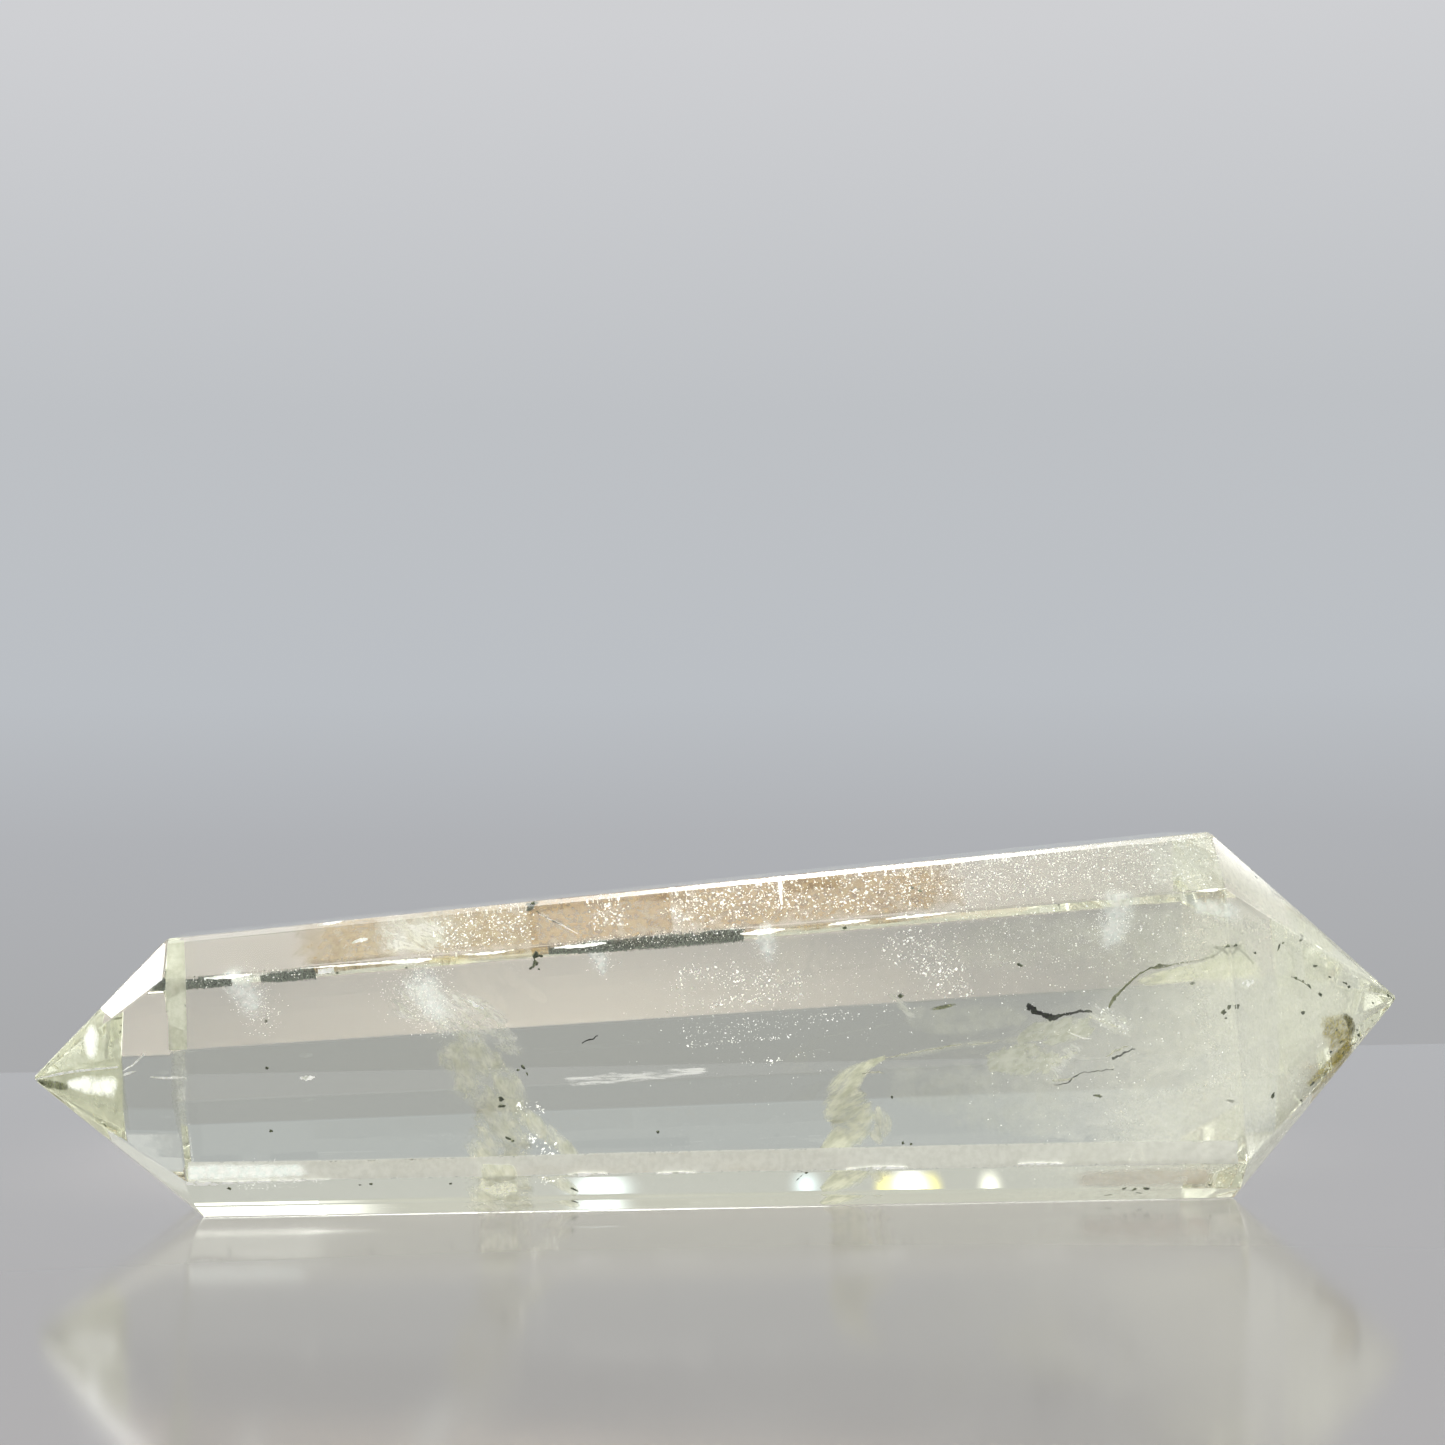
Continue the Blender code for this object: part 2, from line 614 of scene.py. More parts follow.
@dataclass(frozen=True)
class FlakeFinish:
    """The skin of a tiny flat gas pocket: silvery white, brighter on some than on others, and given a painted
    glint that makes it glow.
    """

    name: str = "gas pocket skin"
    pale: str = "#ffffff"
    deep: str = "#c9ccc4"
    grain: float = 0.3             # millimetres
    rough: float = 0.3
    painted_glint: float = 0.8             # painted highlight: emission that makes the skins shine as though each caught a lamp, whichever way it lies

    def build(self) -> Material:
        """Build the flakes' material.

        Returns:
            The material.
        """
        material, tree, place = new_material(self.name)
        colour = mottle(tree, place, self.grain * MM, 2.0, (0.35, 0.55), (self.deep, self.pale))
        shader = add_node(tree, "ShaderNodeBsdfPrincipled",
                          {"Base Color": colour, "Roughness": self.rough, "Emission Color": colour,
                           "Emission Strength": self.painted_glint})
        add_node(tree, "ShaderNodeOutputMaterial", {"Surface": shader.outputs[0]})
        return material


@dataclass(frozen=True)
class ChloriteAndShadeFinish:
    """Chlorite: a soft mineral in matt scales, black-green with mossy lights; the same finish also paints
    shade as dark flecks behind the long ridge.
    """

    name: str = "chlorite scales"
    pale: str = "#7f8c58"
    deep: str = "#2c371f"
    grain: float = 0.12            # millimetres
    rough: float = 0.55

    def build(self) -> Material:
        """Build the mineral's material.

        Returns:
            The material.
        """
        material, tree, place = new_material(self.name)
        colour = mottle(tree, place, self.grain * MM, 4.0, (0.45, 0.75), (self.deep, self.pale))
        shader = add_node(tree, "ShaderNodeBsdfPrincipled", {"Base Color": colour, "Roughness": self.rough})
        add_node(tree, "ShaderNodeOutputMaterial", {"Surface": shader.outputs[0]})
        return material


# ---------------------------------------------------------------- flecks


@dataclass(frozen=True)
class FleckCloud:
    """Flecks strewn along a film: bright gas pockets caught on a healed plane, and dark flecks of painted
    shade behind the long ridge.
    """

    film: Film
    count_mm2: float          # flecks on each square millimetre
    radius: float             # of the largest, in millimetres
    spread: float             # millimetres off the plane
    slimness: float = 0.6     # width over length


@dataclass
class FlakeScatter:
    """The node tree that strews flat flakes over a film, most of them small."""

    name: str
    material: Material
    corners: int = 6
    rarity: float = 3.2       # the higher, the rarer a large flake
    smallest: float = 0.3     # as a share of the largest
    turn_low: Triple = (0.6, -0.9, -3.1)     # radians
    turn_high: Triple = (2.5, 0.9, 3.1)

    def __post_init__(self) -> None:
        """Build the tree."""
        self.tree = bpy.data.node_groups.new(self.name, "GeometryNodeTree")
        face = self.tree.interface
        face.new_socket("Geometry", in_out="INPUT", socket_type="NodeSocketGeometry")
        for title in ("Density", "Radius", "Spread", "Slimness"):
            face.new_socket(title, in_out="INPUT", socket_type="NodeSocketFloat")
        face.new_socket("Seed", in_out="INPUT", socket_type="NodeSocketInt")
        face.new_socket("Geometry", in_out="OUTPUT", socket_type="NodeSocketGeometry")
        self.link()

    def link(self) -> None:
        """Add and link the tree's nodes."""
        tree = self.tree
        given = add_node(tree, "NodeGroupInput").outputs
        fade = add_node(tree, "GeometryNodeInputNamedAttribute", {"Name": "fade"}, data_type="FLOAT")
        density = add_node(tree, "ShaderNodeMath", {0: given["Density"], 1: fade.outputs[0]},
                           operation="MULTIPLY")
        points = add_node(tree, "GeometryNodeDistributePointsOnFaces",
                          {"Mesh": given["Geometry"], "Density": density.outputs[0],
                           "Seed": given["Seed"]})
        stray = add_node(tree, "FunctionNodeRandomValue",
                         {0: (-1.0, -1.0, -1.0), 1: (1.0, 1.0, 1.0), "Seed": given["Seed"]},
                         data_type="FLOAT_VECTOR")
        shift = add_node(tree, "ShaderNodeVectorMath", {0: stray.outputs[0], "Scale": given["Spread"]},
                         operation="SCALE")
        loose = add_node(tree, "GeometryNodeSetPosition",
                         {"Geometry": points.outputs[0], "Offset": shift.outputs[0]})
        disc = add_node(tree, "GeometryNodeMeshCircle",
                        {"Vertices": self.corners, "Radius": given["Radius"]}, fill_type="NGON")
        turn = add_node(tree, "FunctionNodeRandomValue",
                        {0: self.turn_low, 1: self.turn_high, "Seed": given["Seed"]},
                        data_type="FLOAT_VECTOR")
        chance = add_node(tree, "FunctionNodeRandomValue", {2: 0.0, 3: 1.0, "Seed": given["Seed"]},
                          data_type="FLOAT")
        rare = add_node(tree, "ShaderNodeMath", {0: chance.outputs[1], 1: self.rarity}, operation="POWER")
        size = add_node(tree, "ShaderNodeMapRange", {"Value": rare.outputs[0], "To Min": self.smallest})
        slim = add_node(tree, "ShaderNodeMath", {0: size.outputs[0], 1: given["Slimness"]},
                        operation="MULTIPLY")
        scale = add_node(tree, "ShaderNodeCombineXYZ", {0: size.outputs[0], 1: slim.outputs[0], 2: 1.0})
        flakes = add_node(tree, "GeometryNodeInstanceOnPoints",
                          {"Points": loose.outputs[0], "Instance": disc.outputs[0],
                           "Rotation": turn.outputs[0], "Scale": scale.outputs[0]})
        real = add_node(tree, "GeometryNodeRealizeInstances", {0: flakes.outputs[0]})
        dressed = add_node(tree, "GeometryNodeSetMaterial",
                           {"Geometry": real.outputs[0], "Material": self.material})
        add_node(tree, "NodeGroupOutput", {0: dressed.outputs[0]})

    def strew(self, cloud: FleckCloud, probe: StoneProbe) -> Object:
        """Strew a cloud of flakes.

        Args:
            cloud: the film that they lie around, and how they lie.
            probe: finds places inside the stone.

        Returns:
            The piece.
        """
        values = {"Density": cloud.count_mm2 / MM ** 2, "Radius": cloud.radius * MM,
                  "Spread": cloud.spread * MM, "Slimness": cloud.slimness, "Seed": cloud.film.seed}
        ground = cloud.film.mesh(probe)
        holder = add_object("flake_ground", ground)
        modifier = holder.modifiers.new("flakes", "NODES")
        modifier.node_group = self.tree
        for socket in self.tree.interface.items_tree:
            if socket.in_out == "INPUT" and socket.name in values:
                modifier[socket.identifier] = values[socket.name]
        graph = bpy.context.evaluated_depsgraph_get()
        mesh = bpy.data.meshes.new_from_object(holder.evaluated_get(graph), depsgraph=graph)
        bpy.data.objects.remove(holder)
        bpy.data.meshes.remove(ground)
        self.trim(mesh, probe)
        return settle(mesh, cloud.film.name)

    @staticmethod
    def trim(mesh: Mesh, probe: StoneProbe) -> None:
        """Drop the flakes that would stand out of the stone.

        Args:
            mesh: the flakes.
            probe: tells what lies inside the stone.
        """
        shape = bmesh.new()
        shape.from_mesh(mesh)
        out = [face for face in shape.faces if not all(probe.holds(point.co) for point in face.verts)]
        bmesh.ops.delete(shape, geom=out, context="FACES")
        shape.to_mesh(mesh)
        shape.free()


# ---------------------------------------------------------------- grains, cracks and the cloud


@dataclass(frozen=True)
class Sliver:
    """One dark grain."""

    u: float                # pixels across the picture
    v: float                # pixels down it
    length: float           # pixels
    width: float            # pixels
    turn: float             # degrees
    depth: float            # millimetres


@dataclass
class Grains:
    """Dark mineral grains, each a small ragged lump."""

    name: str
    slivers: tuple[Sliver, ...]
    finish: ChloriteAndShadeFinish = ChloriteAndShadeFinish()
    pixel: float = 0.054 * MM      # what a pixel spans at the stone, less the blur round a grain
    rag: float = 1.0               # how far the ragged skin goes in and out, as a share
    rag_scale: float = 1.3
    rag_stride: float = 9.1        # keeps one grain's shape apart from the next one's
    seed: int = 3

    def build(self, probe: StoneProbe) -> Object:
        """Build the grains as one piece.

        Args:
            probe: finds places inside the stone.

        Returns:
            The piece.
        """
        right, up, forward = probe.view.axes()
        shape = bmesh.new()
        for k, sliver in enumerate(self.slivers):
            place = probe.inside(sliver.u, sliver.v, sliver.depth)
            angle = math.radians(sliver.turn)
            along = right * math.cos(angle) + up * math.sin(angle)
            across = up * math.cos(angle) - right * math.sin(angle)
            lump = bmesh.ops.create_icosphere(shape, subdivisions=2, radius=1.0)["verts"]
            long, wide = sliver.length * self.pixel / 2, sliver.width * self.pixel / 2
            for point in lump:
                way = point.co.copy()
                spot = way * self.rag_scale + Vector((k * self.rag_stride, self.seed, 0))
                way *= 1 + self.rag * noise.noise(spot)
                point.co = place + along * way.x * long + across * way.y * wide + forward * way.z * wide
        bmesh.ops.recalc_face_normals(shape, faces=shape.faces)
        return settle(close_mesh(shape, self.name), self.name, self.finish.build())


@dataclass
class Cracks:
    """Hairline cracks, each a narrow ribbon that wavers along its knots."""

    name: str
    lines: tuple[tuple[Knot, ...], ...]
    finish: ChloriteAndShadeFinish | FlakeFinish
    steps_per_knot: int = 10
    waver: float = 1.1             # pixels
    waver_scale: float = 0.23      # to the pixel
    slimmest: float = 0.7          # its least width, as a share of the knots' own
    swell: float = 0.9             # how much wider it gets
    pinch_scale: float = 0.31      # to the pixel
    pinch_stride: float = 3.3      # keeps the widths of two cracks apart
    lean: float = 0.12             # millimetres deeper at the lower edge
    seed: int = 5

    def ribbon(self, shape: BMesh, probe: StoneProbe, number: int,
               knots: tuple[Knot, ...]) -> None:
        """Add one crack.

        Args:
            shape: the mesh in the making.
            probe: finds places inside the stone.
            number: which crack it is.
            knots: its knots.
        """
        steps = self.steps_per_knot * (len(knots) - 1)
        before = None
        for i in range(steps + 1):
            u, v, half, depth = blend_knots(knots, i / steps)
            ahead = blend_knots(knots, min(1.0, i / steps + RUN_STEP))
            behind = blend_knots(knots, max(0.0, i / steps - RUN_STEP))
            run = Vector((ahead[0] - behind[0], ahead[1] - behind[1])).normalized()
            wave = self.waver * noise.noise(Vector((u * self.waver_scale, v * self.waver_scale,
                                                    number + self.seed)))
            pinch = abs(noise.noise(Vector((u * self.pinch_scale, v * self.pinch_scale,
                                            number * self.pinch_stride + self.seed))))
            width = half * (self.slimmest + self.swell * pinch)
            pair = [shape.verts.new(probe.inside(u - run.y * (wave + side * width),
                                                 v + run.x * (wave + side * width),
                                                 depth + side * self.lean))
                    for side in (-1, 1)]
            if before:
                shape.faces.new((before[0], before[1], pair[1], pair[0]))
            before = pair

    def build(self, probe: StoneProbe) -> Object:
        """Build the cracks as one piece.

        Args:
            probe: finds places inside the stone.

        Returns:
            The piece.
        """
        shape = bmesh.new()
        for number, knots in enumerate(self.lines):
            self.ribbon(shape, probe, number, knots)
        return settle(close_mesh(shape, self.name), self.name, self.finish.build())


@dataclass
class MilkyCloud:
    """The faint cloud that fills the wide end, as wavering veils that follow the stone's form."""

    finish: FilmFinish
    starts: float = 15 * MM        # where it begins, along the stone
    full: float = 34 * MM          # where it is at full strength
    insets: tuple[float, ...] = (0.94, 0.74, 0.48)     # how much of its girth each veil keeps
    length: tuple[float, float] = (0.35, 0.63)         # of its length: this share of the inset, and this
    axis_height: float = 11.3 * MM
    waver: float = 0.5 * MM
    waver_size: float = 3 * MM
    looseness: float = 3           # how much more the inner veils waver
    cell: float = 1.6 * MM         # size of the veils' faces
    rounds: int = 6                # of cutting long edges in two, at most
    seed: int = 23                 # vector noise starts from the clock unless it is seeded

    def veil(self, shape: BMesh, inset: float) -> None:
        """Shrink a copy of the stone towards its axis and keep its wide end.

        Args:
            shape: the copy.
            inset: how much of its girth is left.
        """
        fade = shape.verts.layers.float.new("fade")
        everything = shape.verts[:] + shape.edges[:] + shape.faces[:]
        bmesh.ops.bisect_plane(shape, geom=everything, plane_co=(self.starts, 0, 0), plane_no=(1, 0, 0),
                               clear_inner=True)
        bmesh.ops.triangulate(shape, faces=shape.faces)
        for _ in range(self.rounds):
            long = [edge for edge in shape.edges if edge.calc_length() > self.cell]
            if not long:
                break
            bmesh.ops.subdivide_edges(shape, edges=long, cuts=1)
            bmesh.ops.triangulate(shape, faces=shape.faces)
        core = Vector((0.0, 0.0, self.axis_height))
        kept = self.length[0] * inset + self.length[1]
        for point in shape.verts:
            way = point.co - core
            stir = noise.noise_vector(point.co / self.waver_size) * self.waver * (1 - inset) * self.looseness
            point.co = core + Vector((way.x * kept, way.y * inset, way.z * inset)) + stir
            point[fade] = min(1.0, max(0.0, (point.co.x - self.starts) / (self.full - self.starts)))
        bmesh.ops.recalc_face_normals(shape, faces=shape.faces)

    def build(self) -> list[Object]:
        """Build each veil as its own piece.

        Returns:
            The pieces.
        """
        noise.seed_set(self.seed)
        material = self.finish.build()
        pieces = []
        for number, inset in enumerate(self.insets):
            shape = Stone().facets()
            self.veil(shape, inset)
            name = f"milky_cloud_{number}"
            pieces.append(settle(close_mesh(shape, name), name, material))
        return pieces


# ---------------------------------------------------------------- tables of what grew inside the stone


class Look(Enum):
    """The finishes that the films come in."""

    # Pockets of gas and water on healed cracks: white or greenish threads where they are fine, cream where
    # they lie thick, each with a little painted glow.
    WISP = FilmFinish(
        "white healed fracture", "#ffffff", "#eceee0", 0.54, grain=1.1, bare=0.31, soft=0.27,
        turn=(0, 38, 0), drawn=(3.2, 1, 0.8), glow=0.06, pattern=Pattern.WISP)
    THIN = FilmFinish(
        "greenish healed fracture", "#fdfdec", "#dcddc4", 0.68, grain=1.1, bare=0.41, soft=0.20,
        turn=(0, 60, 0), drawn=(1.8, 1, 0.8), glow=0.07)
    CREAM = FilmFinish(
        "cream healed fracture", "#fefee6", "#d9dbc0", 0.80, grain=0.8, bare=0.34, soft=0.22,
        turn=(0, -33, 0), drawn=(2.4, 1, 0.8), ragged=0.45, glow=0.08)
    # Painted highlights: a cream flare and glowing hazes that stand for lamps mirrored in the stone.
    PAINTED_FLARE = FilmFinish(
        "painted cream flare", "#fffff0", "#f4f5dc", 0.92, grain=0.30, bare=0.40, soft=0.20, ragged=1.0,
        glow=0.45)
    BLOOM = FilmFinish(
        "painted bloom haze", "#ffffff", "#eef8f8", 0.60, grain=0.6, bare=0.30, soft=0.40, ragged=0.8, glow=0.3)
    PAINTED_GLEAM = FilmFinish(
        "painted gleam haze", "#ffffff", "#fafcf4", 0.96, grain=0.8, bare=0.30, soft=0.34, ragged=0.9, glow=0.7)
    # Clouds of pockets too fine to tell apart: a dull pale haze at girdles, corners and points.
    CROWN = FilmFinish(
        "crown haze", "#dcded6", "#c8cac0", 0.50, grain=0.35, bare=0.32, soft=0.30, ragged=0.7)
    GIRDLE = FilmFinish(
        "girdle haze", "#e9eada", "#d8dac6", 0.84, grain=0.6, bare=0.14, soft=0.16, ragged=0.25)
    DUSK = FilmFinish(
        "narrow point haze", "#d0d3c0", "#bcc0a8", 0.52, grain=1.4, bare=0.22, soft=0.40, ragged=0.5)
    MIST = FilmFinish(
        "fine mist", "#fafaf4", "#eeefe4", 0.54, grain=0.4, bare=0.28, soft=0.44, ragged=0.6, glow=0.02)
    # Thinner healed cracks, which only pale what lies behind them.
    BAND = FilmFinish(
        "cream film", "#fcfce6", "#e0e2c4", 0.80, grain=0.9, bare=0.32, soft=0.16, turn=(0, -12, 0),
        drawn=(3.0, 1, 0.8), ragged=0.4)
    PALE = FilmFinish(
        "pale green film", "#eeefdc", "#c6c9b0", 0.46, grain=0.8, bare=0.36, soft=0.08, turn=(0, -25, 0),
        drawn=(1.8, 1, 0.8), ragged=0.3)
    FAINT = FilmFinish(
        "faint haze", "#f2f4e6", "#dadccb", 0.26, grain=1.0, bare=0.44, soft=0.22, ragged=0.5)
    # Milky quartz: countless tiny pockets of water, which dull the clear body a little.
    MILK = FilmFinish("milky quartz", "#fcfcf8", "#e6e7de", 0.17, grain=0.7, bare=0.40, soft=0.38)
    CLOUD = FilmFinish(
        "fine milky quartz", "#fcfcf4", "#e6e8da", 0.14, grain=0.9, bare=0.34, soft=0.25, ragged=0.6)
    # Iron oxide that seeped in along cracks: yellow-brown to almost black where thick.
    RUST = FilmFinish(
        "iron stain", "#b3a22e", "#655c0c", 0.80, grain=0.35, bare=0.42, soft=0.24, turn=(0, -30, 0),
        drawn=(2.6, 1, 0.7), ragged=0.75)
    CORE = FilmFinish(
        "dark iron stain", "#76700c", "#2e2c02", 0.88, grain=0.3, bare=0.38, soft=0.18, turn=(0, -40, 0),
        drawn=(2.0, 1, 0.7), ragged=0.7)
    # Painted reflection: tan films under the front shoulder, standing for the warm tint that the shoulder
    # shows of what lies behind the stone.
    PAINTED_WARM = FilmFinish(
        "painted warm reflection", "#ae9157", "#8f6e38", 0.64, grain=0.9, bare=0.30, soft=0.22, ragged=0.4)
    PAINTED_WARM_FAINT = FilmFinish(
        "painted faint warm reflection", "#b8a26e", "#9c814a", 0.66, grain=0.8, bare=0.25, soft=0.34, ragged=0.8)
    # Iron with chlorite is olive, and the thinnest iron film only casts rose.
    OLIVE = FilmFinish(
        "olive film", "#8f9562", "#525a30", 0.85, grain=0.4, bare=0.30, soft=0.24, ragged=0.8)
    ROSE = FilmFinish("rose film", "#fff0e4", "#f8e0cc", 0.40, grain=1.8, bare=0.20, soft=0.44, ragged=0.8)
    # What the lap left on the facets: silvery lines lit by a painted glint, and a painted pale sheen along
    # the foot that stands for what the lower facet mirrors.
    SILK = FilmFinish(
        "painted glint on lap marks", "#ffffff", "#f4f4f2", 0.85, grain=0.4, bare=0.46, soft=0.10, drawn=(8, 1, 0.6),
        rough=0.3, glow=0.2)
    PAINTED_SHEEN = FilmFinish(
        "painted pale sheen", "#fbfbf6", "#f0f0ea", 0.86, grain=0.8, bare=0.10, soft=0.10, ragged=0.35,
        glow=0.04)
    # Painted shade: a dark mottled sheet behind the long front ridge, standing for the dark that the ridge
    # shows from under the stone.
    PAINTED_RIDGE_SHADE = FilmFinish(
        "painted ridge shade", "#98a496", "#1c241e", 0.92, grain=0.12, bare=0.28, soft=0.14, drawn=(1.0, 1, 1.6),
        ragged=0.3)


